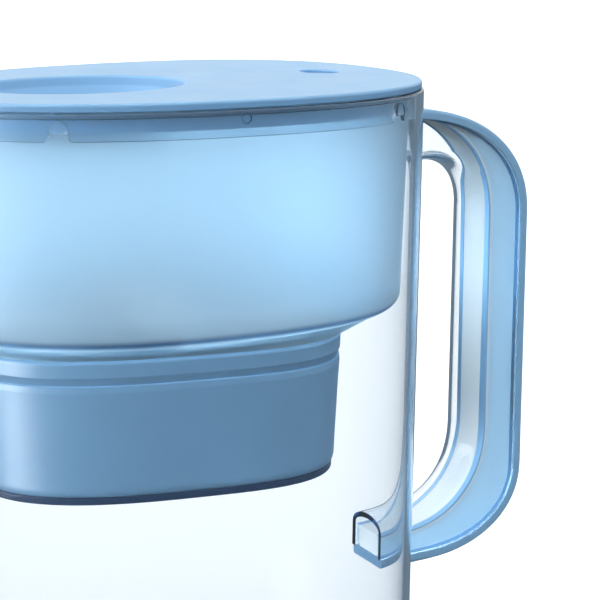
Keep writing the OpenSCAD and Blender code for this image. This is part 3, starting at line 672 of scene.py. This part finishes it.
def u_side(side, wall):
    """The U from one leg round the nose to the other, at a wall's depth inside it."""
    w = side - wall
    turn = [math.pi * i / NOSE_STEPS for i in range(NOSE_STEPS + 1)]
    return [(0, 0, w)] + [(1, -NOSE + (NOSE - wall) * math.sin(a), w * math.cos(a)) for a in turn] \
        + [(0, 0, -w)]


u_section = u_side(HALF_GRIP, 0) + u_side(HALF_GRIP, CHANNEL_WALL)[::-1]
channel = loft("channel", [station(p, q, u_section)
                           for p, q in zip(outer_loop(STRIP_DEEP + 0.1, ROOT), gap_loop(ROOT))])
combine(jug, "UNION", channel)
print("jug with its channel:", len(jug.data.polygons), "faces")


# %% Lugs that hold the collar
def side_y(inset, x):
    """Half the body's width at x."""
    u = x / (BODY_L - inset)
    return (BODY_W - inset) * (1 - abs(u) ** BODY_SQUARE) ** (1 / BODY_SQUARE) * (1 + BODY_EGG * u)


def side_turn(x):
    """The angle at which the body's side faces outwards at x."""
    return math.atan2(2, side_y(3, x - 1) - side_y(3, x + 1))


def arch_outline(width, top, bottom, flare=0.0):
    """Half a turn over the top, legs, and feet that flare out where they meet the collar's edge."""
    r = width / 2
    over = [(r * math.cos(math.pi * i / 20), top - r + r * math.sin(math.pi * i / 20)) for i in range(21)]
    foot = [(r + flare * (1 - math.cos(math.radians(a))), COLLAR + flare * (1 - math.sin(math.radians(a))))
            for a in (0, 22, 45, 68, 90)] if flare else []
    edge = r + flare
    return [(edge, bottom)] + foot[::-1] + over + [(-x, z) for x, z in foot] + [(-edge, bottom)]


def at_lug(x, side, outline, inner, outer):
    """An arch that stands on the outline, from inner to outer across the wall."""
    turn = side * side_turn(x)
    out = Vector((math.cos(turn), math.sin(turn), 0))
    along = Vector((-math.sin(turn), math.cos(turn), 0))
    at = Vector((x, side * side_y(APRON, x), 0))
    ring = [tuple(at - out * inner + along * y + Vector((0, 0, z))) for y, z in outline]
    return prism("arch", ring, out * (inner + outer))


LUGS = [(x, s) for x in (35.5 - BODY_L, BODY_L - 37) for s in (1, -1)]
NOTCH, LUG_TOP = 7.2, COLLAR + 7            # a notch's width, and the height of a lug's top
lugs = [soften(at_lug(x, s, arch_outline(NOTCH - 0.8, LUG_TOP, COLLAR + 2.4), 1.0, 0.9), 0.25, 2)
        for x, s in LUGS]
combine(jug, "UNION", *lugs)
finish_piece(jug, "jug", "jug", clear, 30)

# %% [markdown]
# Grip insert and strip
#
# The insert fills the outer half of the channel and is seen through its clear side: a white core between
# two light-blue sheets. Along its inner edge run a thin blue line, which is painted shade on the sheet's
# edge, and a thin white line, which is a painted highlight on it. Each layer is cut from two flat outlines:
# what lies inside the outer curve and outside the inner one, so that it runs out to a point at the top. The
# strip is a hard band over it, swept round the loop with soft edges.

# %% Grip insert: the white core
INSERT_HALF, SHEET = HALF_GRIP - CHANNEL_WALL - 0.2, 2.0
BORDER, HAIR = 0.7, 0.02                    # a line's width, and the room between two layers
FILL_ROOT = -0.6


def slab_of(name, curve, y0, y1, more=0):
    """What a curve in the XZ plane holds, from y0 to y1 across the hand and a little more for a cutter."""
    return prism(name, [(p.x, y0 - more, p.y) for p in curve], (0, y1 - y0 + 2 * more, 0))


def loop_slab(name, y0, y1, spare=0.0):
    """A slab between the strip and the insert's inner edge."""
    slab = slab_of(name, outer_loop(STRIP_DEEP + 0.2 + spare, FILL_ROOT), y0, y1)
    return combine(slab, "DIFFERENCE", slab_of("hollow", insert_loop(6, spare), y0, y1, 1))


core = loop_slab("grip_core_white", SHEET - INSERT_HALF, INSERT_HALF - SHEET, 0.3)
grip_pieces = [finish_piece(core, "jug", "grip_insert", insert_white)]


# %% Grip insert: sheets, and lines of painted shade and painted highlight
def painted_light_line(name, start, y0, y1):
    """A thin line along the insert's inner edge that runs out at its point: blue painted shade, white
    painted highlight.
    """
    line = slab_of(name, insert_loop(FILL_ROOT, start + BORDER), y0, y1)
    combine(line, "DIFFERENCE", slab_of("hollow", insert_loop(6, start), y0, y1, 1))
    return combine(line, "INTERSECT", slab_of("within", outer_loop(STRIP_DEEP + 0.5, FILL_ROOT), y0, y1, 1))


for name, y0, y1 in (("front", -INSERT_HALF, SHEET - INSERT_HALF - HAIR),
                     ("back", INSERT_HALF - SHEET + HAIR, INSERT_HALF)):
    sheet = soften(loop_slab("grip_side_" + name, y0, y1, 2 * BORDER + 2 * HAIR), 0.3, 3)
    grip_pieces.append(finish_piece(sheet, "jug", "grip_insert", insert_blue))
    # The blue line is painted shade on the sheet's inner edge, and the white line a painted highlight on it.
    for tone, start, slot, finish in (("blue", 0.0, "mid_blue_plastic", mid_blue),
                                      ("white", BORDER + HAIR, "white_plastic", white)):
        line = painted_light_line(f"grip_line_{tone}_{name}", start, y0, y1)
        grip_pieces.append(finish_piece(line, "jug", "grip_insert", finish))

# %% Grip strip
EDGE, EASE = 1.3, 0.3                       # the strip's outer radius, and its inner chamfer
corner = [math.radians(a) for a in (0, 18, 36, 54, 72, 90)]
strip_side = [(1, 0, HALF_GRIP - EASE), (1, -EASE, HALF_GRIP), (1, -2 * EASE, HALF_GRIP),
              (0, EDGE + EASE, HALF_GRIP)]
strip_side += [(0, EDGE * (1 - math.sin(a)), HALF_GRIP - EDGE * (1 - math.cos(a))) for a in corner]
strip_side += [(0, 0, HALF_GRIP - EDGE - EASE)]
strip_section = strip_side + [(share, extra, -across) for share, extra, across in strip_side[::-1]]
strip = loft("strip_blue", [station(p, q, strip_section)
                            for p, q in zip(outer_loop(0, -0.3), outer_loop(STRIP_DEEP, -0.3))])
finish_piece(strip, "jug", "grip_strip", mid_blue)

# %% [markdown]
# Reservoir
#
# One skin, as it comes from the mould: the neck that goes into the housing, the sloping underside, a
# round lower edge, the wall, the double-walled collar and back down inside. The underside changes from
# the housing's squarer oval to the body's, so the rings between are a mix of both. Four arched notches
# are cut through the collar, and their feet flare into its lower edge. A small ring mark is sunk into it on
# each side. Last, the mesh gets the two attributes that its finish reads.

# %% Reservoir skin
def mixed(first, second, share):
    return [tuple(Vector(a).lerp(Vector(b), share)) for a, b in zip(first, second)]


FOOT_R = 6.5                                # round edge at the foot of the wall
NECK_OUT, NECK_IN = 0.65, 2.45              # insets of the neck's two faces
foot_inset = tank_inset(SHOULDER + FOOT_R)
foot_turn = [math.radians(a) for a in (78, 66, 54, 42, 30, 18, 8, 0)]
foot_out = [ring_at(tank_plan, foot_inset + FOOT_R * (1 - math.cos(a)),
                    SHOULDER + FOOT_R * (1 - math.sin(a))) for a in foot_turn]
inner_r = FOOT_R - TANK_WALL * 0.6
foot_in = [ring_at(tank_plan, foot_inset + TANK_WALL + inner_r * (1 - math.cos(a)),
                   SHOULDER + FOOT_R - inner_r * math.sin(a) + 0.2)
           for a in [math.radians(b) for b in (0, 10, 22, 34, 47, 60, 68)]]
low_out, low_in = ring_at(housing_plan, -1.75, NECK), ring_at(housing_plan, 0.05, LAND)
slope_out = [mixed(low_out, foot_out[0], k) for k in (0.02, 0.2, 0.5, 0.8, 0.97)]
slope_in = [mixed(foot_in[-1], low_in, k) for k in (0.03, 0.2, 0.5, 0.8, 0.98)]
collar_corners = rounded([
    (tank_inset(SHOULDER + FOOT_R), SHOULDER + FOOT_R, 0), (tank_inset(COLLAR), COLLAR, 0),
    (WALL, RIM - 2, 0.4), (APRON + 1.1, RIM - 2, 0.4), (APRON + 1.1, COLLAR, 0.25), (APRON, COLLAR, 0.35),
    (APRON, RIM, 0.5), (WALL + TANK_WALL, RIM, 0.5), (foot_inset + TANK_WALL, SHOULDER + FOOT_R + 0.2, 0)],
    steps=3, guard=0.2)
tank_levels = [215, 230, 245, 260]
collar_rings = rings_of(tank_plan, with_levels(collar_corners, tank_levels)[1:-1])
tank = loft("reservoir_frosted", [
    ring_at(housing_plan, NECK_OUT, SPIGOT), ring_at(housing_plan, NECK_OUT, NECK), low_out, *slope_out,
    *foot_out, *collar_rings, *foot_in, *slope_in, low_in, ring_at(housing_plan, NECK_IN, LAND),
    ring_at(housing_plan, NECK_IN, SPIGOT)], hoop=True)
print("reservoir skin:", len(tank.data.polygons), "faces")

# %% Collar notches
notches = [at_lug(x, s, arch_outline(NOTCH, LUG_TOP + 0.3, COLLAR - 1, 1.5), 1.55, 1.0) for x, s in LUGS]
combine(tank, "DIFFERENCE", *notches)
print("notches:", len(notches))

# %% Ring marks on the collar
MARK_X, MARK_Z, MARK_R, MARK_LINE = -3.9, TOTAL - 6.5, 1.65, 0.4


def ring_mark(side):
    nothing_selected()
    bpy.ops.mesh.primitive_torus_add(
        major_radius=MARK_R * MM, minor_radius=MARK_LINE * MM, major_segments=40, minor_segments=12,
        location=(MARK_X * MM, side * side_y(APRON - 0.1, MARK_X) * MM, MARK_Z * MM),
        rotation=(math.pi / 2, 0, 0))
    bpy.ops.object.transform_apply(location=True, rotation=True, scale=False)
    return bpy.context.object


combine(tank, "DIFFERENCE", ring_mark(-1), ring_mark(1))
print("reservoir with notches and marks:", len(tank.data.polygons), "faces")


# %% Clear wall of the collar, and its edge line of painted shade
def outside(x, y, inset):
    """Whether a point lies outside the body's outline at an inset."""
    u = x / (BODY_L - inset)
    across = abs(y / ((BODY_W - inset) * (1 + BODY_EGG * u)))
    return abs(u) ** BODY_SQUARE + across ** BODY_SQUARE - 1 > 0


SIDE_ON = 0.85                              # a face that looks less than this outwards is an edge
clear_part = tank.data.attributes.new("collar", "FLOAT", "POINT")
for corner in tank.data.vertices:
    x, y, z = corner.co / MM
    clear_part.data[corner.index].value = float(z > COLLAR - 0.05 and outside(x, y, APRON + 1.5))
# Faces seen side-on along the collar's cut edges get the near-black line of painted shade
painted_edge_line = tank.data.attributes.new("collar_edge_painted_shade", "FLOAT", "CORNER")
for face in tank.data.polygons:
    x, y, z = face.center / MM
    sideways = Vector((x / BODY_L, y / BODY_W, 0)).normalized()
    on_painted_edge_line = COLLAR - 0.1 < z < LUG_TOP + 0.6 and outside(x, y, APRON + 1.05)
    if on_painted_edge_line and abs(face.normal.dot(sideways)) < SIDE_ON:
        for loop in face.loop_indices:
            painted_edge_line.data[loop].value = 1.0
print("corners on the collar's edge:", sum(v.value for v in painted_edge_line.data))
finish_piece(tank, "reservoir", "reservoir", frosted, 30)

# %% [markdown]
# Filter housing and base cap
#
# The housing is an opaque socket. A groove under its rim band darkens towards the ledge below it, and
# the ledge catches the light from above. The base cap closes it from below with a round edge and has
# four drip nozzles. Its near-black navy is partly its own colour and partly painted shade for the gap
# under the housing's round edge.

# %% Filter housing
EDGE_R, EDGE_TURN, EDGE_STEPS = 8.0, math.radians(24), 8    # the start of a round lower edge
edge_top = SEAM + EDGE_R * math.sin(EDGE_TURN)
wall_low, ledge_in = housing_inset(edge_top), housing_inset(BAND_LOW)
lip_in = wall_low + EDGE_R * (1 - math.cos(EDGE_TURN))
edge_arc = [(wall_low + EDGE_R * (1 - math.cos(a)), edge_top - EDGE_R * math.sin(a))
            for a in (EDGE_TURN * k / EDGE_STEPS for k in range(EDGE_STEPS, -1, -1))]
housing_corners = [(lip_in + 0.35, SEAM)] + [(x, z + 0.25) for x, z in edge_arc] + rounded([
    (housing_inset(BAND_LOW - 8), BAND_LOW - 8, 0), (ledge_in, BAND_LOW - 2.4, 1.0),
    (ledge_in + 0.12, BAND_LOW, 0.25), (ledge_in + 0.95, BAND_LOW + 0.1, 0.15),
    (housing_inset(BAND_LOW + 3.2), BAND_LOW + 3.2, 0.35), (-BAND_OUT, BAND_TOP, 1.3),
    (0.35, BAND_TOP, 0), (0.35, LEDGE, 0), (2.65, LEDGE, 0), (2.65, LEDGE - 2, 0),
    (housing_inset(LEDGE - 5) + 2, LEDGE - 5, 0), (housing_inset(SEAM) + 2, SEAM, 0)], steps=4, guard=0.2)
housing = loft("filter_housing_blue", rings_of(housing_plan, housing_corners), hoop=True)
finish_piece(housing, "reservoir", "filter_housing", mid_blue, 50)

# %% Base cap with nozzles
rim_out = housing_inset(SEAM) + 2.15
cap_corners = rounded([
    (30, BOTTOM, 0), (lip_in + 0.1, BOTTOM, 0.8), (lip_in + 0.1, SEAM - 0.1, 0.25), (rim_out, SEAM - 0.1, 0),
    (rim_out, SEAM + 3, 0.3), (rim_out + 1.4, SEAM + 3, 0.3), (rim_out + 1.4, CAP_FLOOR, 1),
    (34, CAP_FLOOR, 0)], steps=6, guard=0.2)
base_cap = loft("base_cap_navy", rings_of(housing_plan, cap_corners))


def bar(centre, radius, length, turns, tilt=0.0):
    nothing_selected()
    bpy.ops.mesh.primitive_cylinder_add(vertices=turns, radius=radius * MM, depth=length * MM,
                                        location=[c * MM for c in centre], rotation=(tilt, 0, 0))
    bpy.ops.object.transform_apply(location=True, rotation=True, scale=False)
    return bpy.context.object


def upright_bar(x, y, radius, low, high):
    return bar((x, y, (low + high) / 2), radius, high - low, 48)


def cross_bar(x, z, radius, half_w):
    return bar((x, 0, z), radius, 2 * half_w, 40, math.pi / 2)


OUTLETS = [(x, s * y) for x, y in ((-37, 22), (21, 43)) for s in (1, -1)]
NOZZLE_R, NOZZLE_BORE, NOZZLE_H = 3.4, 2.1, 4
nozzles = [soften(upright_bar(x, y, NOZZLE_R, BOTTOM - NOZZLE_H, BOTTOM + 1), 0.5) for x, y in OUTLETS]
bores = [upright_bar(x, y, NOZZLE_BORE, BOTTOM - NOZZLE_H - 1, CAP_FLOOR + 1) for x, y in OUTLETS]
combine(base_cap, "UNION", *nozzles)
combine(base_cap, "DIFFERENCE", *bores)
finish_piece(base_cap, "reservoir", "outlet_plate", navy_and_shade)

# %% [markdown]
# Lid
#
# The lid is one shell: a rim band that covers the jug's edge, a skirt that drops inside the reservoir, a
# flat top and the filling dish. The dish leans in from a round edge to a floor with the filling opening.
# The skin is lofted in one go. Then the slot for the spout flap and the indicator's window are cut, and
# the ears of both hinges are joined on.

# %% Lid skin
SKIRT = WALL + TANK_WALL + 0.4              # inset of the skirt's outer face
LID_T, SKIRT_LOW, FLOOR_T = 2.4, TOTAL - 10.4, 1.8
under, flap_low, bowl_low = TOTAL - LID_T, DISH - FLOOR_T, DISH - FLOOR_T - 2
band_low = TOTAL - BAND_H


def part_of(plan, corners, steps=4, guard=0.25):
    return rings_of(plan, rounded(corners, steps=steps, guard=guard))


lid_rings = [ring_at(fill_plan, 0, bowl_low)]
lid_rings += part_of(dish_plan, [(8, bowl_low, 0), (6.6, bowl_low, 1.5), (-2, under, 0)])
lid_rings += part_of(tank_plan, [(SKIRT + 1.5, under, 0), (SKIRT + 1.7, SKIRT_LOW, 0.4),
                                 (SKIRT + 0.3, SKIRT_LOW, 0.4), (SKIRT, band_low, 0)])
lid_rings += part_of(lid_plan, [(0.6, band_low, 0), (0, band_low, 0.3), (0, TOTAL, 1.0), (1.6, TOTAL, 0)],
                     5)
lid_rings += part_of(dish_plan, [(-2.2, TOTAL, 0), (0, TOTAL, 1.4), (8, DISH, 1.8), (9.7, DISH, 0)], 6)
lid_rings += part_of(fill_plan, [(-2.4, DISH, 0), (-2, DISH, 0.2), (-2, flap_low, 0), (0, flap_low, 0)])
lid = loft("lid_blue", lid_rings, hoop=True)
print("lid skin:", len(lid.data.polygons), "faces")

# %% Hinge ears, slot and window
FILL_BARREL, FILL_BORE, FILL_EAR = 2.2, 1.25, (9.3, 12.5)       # radii, and an ear's start and end in y
SPOUT_BARREL, SPOUT_BORE, SPOUT_EAR = 1.8, 0.95, (14.4, 17.4)
FILL_PIN = (FILL_X + FILL_L + 2 + 4.6, DISH + FILL_BARREL + 0.5)
SPOUT_PIN = (-(BODY_L - SKIRT - 1.5 - 5.6), TOTAL - SPOUT_BARREL - 0.4)


def ear(x, z, radius, foot_z, y0, y1):
    """A tongue with a round end about the pin, on a foot above or below it."""
    way = 1 if foot_z < z else -1
    over = [(x + radius * math.cos(math.pi * i / 24), z + way * radius * math.sin(math.pi * i / 24))
            for i in range(25)]
    outline = [(x + radius, foot_z)] + over + [(x - radius, foot_z)]
    return soften(prism("ear", [(a, y0, b) for a, b in outline], (0, y1 - y0, 0)), 0.25, 2)


combine(lid, "DIFFERENCE", box("slot", (-120, -SPOUT_EAR[0], band_low - 0.05),
                               (SPOUT_PIN[0] + 2.8, SPOUT_EAR[0], TOTAL + 6)))
ears = [ear(*pin, barrel, foot_z, *[s * y for y in reach])
        for pin, barrel, foot_z, reach in ((FILL_PIN, FILL_BARREL, DISH - 1, FILL_EAR),
                                           (SPOUT_PIN, SPOUT_BARREL, TOTAL - 1, SPOUT_EAR))
        for s in (1, -1)]
combine(lid, "UNION", *ears)
window = loft("window", [ring_at(button_plan, 0, TOTAL - 5), ring_at(button_plan, 0, TOTAL - 0.4),
                         ring_at(button_plan, -0.4, TOTAL), ring_at(button_plan, -0.4, TOTAL + 1)])
combine(lid, "DIFFERENCE", cross_bar(*FILL_PIN, FILL_BORE, 14), cross_bar(*SPOUT_PIN, SPOUT_BORE, 17.6),
        window)
finish_piece(lid, "lid", "lid", light_blue, 40)

# %% [markdown]
# Flaps and button
#
# The fill flap lies in a rebate of the dish's floor. An arm runs from a foot on it, over the floor, to
# the hinge barrel. The spout flap is a piece of the lid's own top with its rim, over the beak. The button
# is an oval with a flange that keeps it under the lid's plate, and its face is slightly hollow.

# %% Fill flap
fill_flap = loft("fill_flap_blue", part_of(fill_plan, [
    (6, flap_low + 0.1, 0), (-1.7, flap_low + 0.1, 0.3), (-1.7, DISH, 0.35), (3, DISH, 0.0)], 3))
foot_x = FILL_X + FILL_L - 8
arm = box("arm", (foot_x, -8.8, DISH - 0.05), (foot_x + 6, 8.8, DISH + 1.9))
reach = box("reach", (foot_x + 2, -8.6, DISH + 0.3), (FILL_PIN[0], 8.6, DISH + 1.85))
tab = box("tab", (FILL_X - 20.5, -8, DISH - 0.05), (FILL_X - 18.3, 8, DISH + 3.6))
combine(arm, "UNION", soften(reach, 0.2, 2))
combine(fill_flap, "UNION", arm, soften(tab, 0.6, 3), cross_bar(*FILL_PIN, FILL_BARREL, 9))
combine(fill_flap, "DIFFERENCE", cross_bar(*FILL_PIN, FILL_BORE, 10))
finish_piece(fill_flap, "fill_flap", "fill_flap", light_blue)

# %% Spout flap
spout_flap = loft("spout_flap_blue", part_of(lid_plan, [
    (6, TOTAL - 1.6, 0), (1.6, TOTAL - 1.6, 0.0), (1.6, band_low, 0), (0, band_low, 0.3), (0, TOTAL, 1.0),
    (6, TOTAL, 0)], 5))
combine(spout_flap, "INTERSECT", box("end", (-200, -14, TOTAL - 10), (SPOUT_PIN[0], 14, TOTAL + 10)))
combine(spout_flap, "UNION", cross_bar(*SPOUT_PIN, SPOUT_BARREL, 13.7))
combine(spout_flap, "DIFFERENCE", cross_bar(*SPOUT_PIN, SPOUT_BORE, 15))
finish_piece(spout_flap, "spout_flap", "spout_flap", light_blue, 40)

# %% Indicator button
FLANGE = under - 1.2
button = loft("indicator_button_blue", part_of(button_plan, [
    (3, FLANGE, 0), (-0.9, FLANGE, 0.2), (-0.9, FLANGE + 1, 0.2), (0.35, FLANGE + 1, 0.15),
    (0.35, TOTAL - 1.1, 0.5), (2.0, TOTAL - 1.2, 1.5), (5.5, TOTAL - 1.5, 0)], 4))
finish_piece(button, "button", "indicator_button", button_blue_painted_shade)

# %% [markdown]
# Floor, lights and camera
#
# Clear plastic shows only what is behind it, so the floor and the sky behind are white and the light
# comes mostly from above and from the left. The side that faces the camera stays darker and a little
# bluer, which gives the blue plastic its depth. The floor has two faces: it is bright where it is seen
# straight or through the clear plastic, and dim and blue where a gleam or a soft bounce meets it, so that
# it gives little light from below. The sky is one pale tone with four soft glows, which show as gleams.

# %% Floor
nothing_selected()
bpy.ops.mesh.primitive_plane_add(size=80, location=(0, 0, 0))
floor = bpy.context.object
floor.name = "floor"
floor_finish, tree = new_finish("pale_floor")
seen = fed(tree, "AddShader", fed(tree, "Emission", Strength=0.7, Color=(1, 1, 1)),
           fed(tree, "BsdfDiffuse", Color=(0.62, 0.63, 0.64)))
dim = fed(tree, "Emission", Strength=0.26, Color=(0.6, 0.81, 1))
rays = add(tree, "LightPath").outputs
straight = fed(tree, "Math", rays["Is Camera Ray"], rays["Is Transmission Ray"], operation="MAXIMUM")
turned = fed(tree, "Math", rays["Glossy Depth"], rays["Diffuse Depth"], operation="ADD")
open_view = fed(tree, "Math", straight, turned, operation="GREATER_THAN")
hand_over(floor_finish, fed(tree, "MixShader", open_view, dim, seen))
floor.data.materials.append(floor_finish)

# %% Sky
sky = bpy.data.worlds.new("studio")
bpy.context.scene.world = sky
sky.use_nodes = True
tree = sky.node_tree
tree.nodes.clear()
way = add(tree, "TexCoord").outputs["Generated"]


def glow(axis, start, end, colour, strength):
    """A soft patch of light about an axis."""
    near = add(tree, "VectorMath", way, Vector(axis).normalized(), operation="DOT_PRODUCT").outputs["Value"]
    return fed(tree, "Background", Color=colour,
               Strength=spread(tree, near, 0, strength, start, end, "SMOOTHSTEP"))


total = fed(tree, "Background", Color=(0.85, 0.93, 1), Strength=0.75)
for patch in (glow((-0.35, 0.1, 0.93), 0.35, 0.9, (1, 1, 1), 0.3),
              glow((-0.15, -0.8, 0.58), 0.3, 0.95, (0.95, 0.98, 1), 0.3),
              glow((-0.97, 0.1, 0.05), 0.75, 0.96, (1, 1, 1), 5.0),
              glow((0.65, 0.76, 0.05), 0.1, 0.9, (1, 1, 1), 0.4)):
    total = fed(tree, "AddShader", total, patch)
add(tree, "OutputWorld", total)
sky.cycles_visibility.diffuse = False
print("sky nodes:", len(tree.nodes))

# %% [markdown]
# Lamps
#
# In a studio, soft boxes would light the pitcher from all round. Light that the sky or a box sends through
# the jug mostly gets lost on the way to the pieces inside, because caustics are off. So the soft light
# comes from very wide suns that are met only by shadow rays, which the clear plastic lets through, and the
# sky shows only in gleams and behind the object. Light linking then gives one lamp to the grip alone, and
# one to the housing for the gleam on its left.

# %% Soft lamps
def soft_lamp(name, towards, strength, width, colour=(1, 1, 1)):
    """A sun so many degrees wide, without the sampling that would weigh bounced rays against it."""
    nothing_selected()
    bpy.ops.object.light_add(type="SUN", location=(0, 0, 1))
    lamp = bpy.context.object
    lamp.name = name
    lamp.rotation_euler = Vector(towards).to_track_quat("Z", "Y").to_euler()
    lamp.data.energy, lamp.data.angle, lamp.data.color = strength * math.pi, math.radians(width), colour
    lamp.data.cycles.use_multiple_importance_sampling = False
    return lamp


soft_lamp("lamp_front", (-0.25, -0.66, 0.7), 0.56, 70).visible_glossy = False
soft_lamp("lamp_above", (0.1, 0.1, 0.98), 0.34, 70)
soft_lamp("lamp_back", (0.62, 0.72, 0.25), 0.22, 40).visible_glossy = False
soft_lamp("lamp_right", (0.75, -0.62, 0.2), 0.2, 50)
left_lamp = soft_lamp("lamp_left", (-0.97, 0.12, 0.0), 1.3, 36)
shine_lamp = soft_lamp("lamp_shine", (-0.973, -0.05, -0.22), 1.3, 36)
shine_lamp.visible_diffuse = False
grip_lamp = soft_lamp("lamp_grip", (-0.93, -0.3, 0.25), 2.0, 40, (1, 0.92, 0.86))
for lamp, side, pieces, state in ((grip_lamp, "receiver_collection", grip_pieces, "INCLUDE"),
                                  (left_lamp, "receiver_collection", grip_pieces[:1], "EXCLUDE"),
                                  (shine_lamp, "receiver_collection", [housing], "INCLUDE"),
                                  (shine_lamp, "blocker_collection", [floor], "EXCLUDE")):
    group = bpy.data.collections.new(f"{lamp.name}_{side}")
    for piece in pieces:
        group.objects.link(piece)
    for member in group.collection_objects:
        member.light_linking.link_state = state
    setattr(lamp.light_linking, side, group)

# %% Camera and picture
EYE_AT, LOOKS_TO = (-279.06, -580.92, 345.82), (0.4928, 0.8411, -0.2229)
eye = bpy.data.cameras.new("camera")
eye.lens, eye.sensor_width = 102, 36
eye.clip_start, eye.clip_end = 0.01, 200
camera = bpy.data.objects.new("camera", eye)
bpy.context.collection.objects.link(camera)
camera.location = Vector(EYE_AT) * MM
camera.rotation_euler = Vector(LOOKS_TO).to_track_quat("-Z", "Y").to_euler()
scene = bpy.context.scene
scene.camera = camera
scene.view_settings.view_transform = "Standard"
scene.view_settings.look = "None"
scene.cycles.caustics_refractive = scene.cycles.caustics_reflective = False
scene.cycles.max_bounces = scene.cycles.transmission_bounces = scene.cycles.glossy_bounces = 24
scene.cycles.transparent_max_bounces = 48
print("camera at", EYE_AT, "mm, lamps:", len(bpy.data.lights))

# %% Leave nothing selected
nothing_selected()
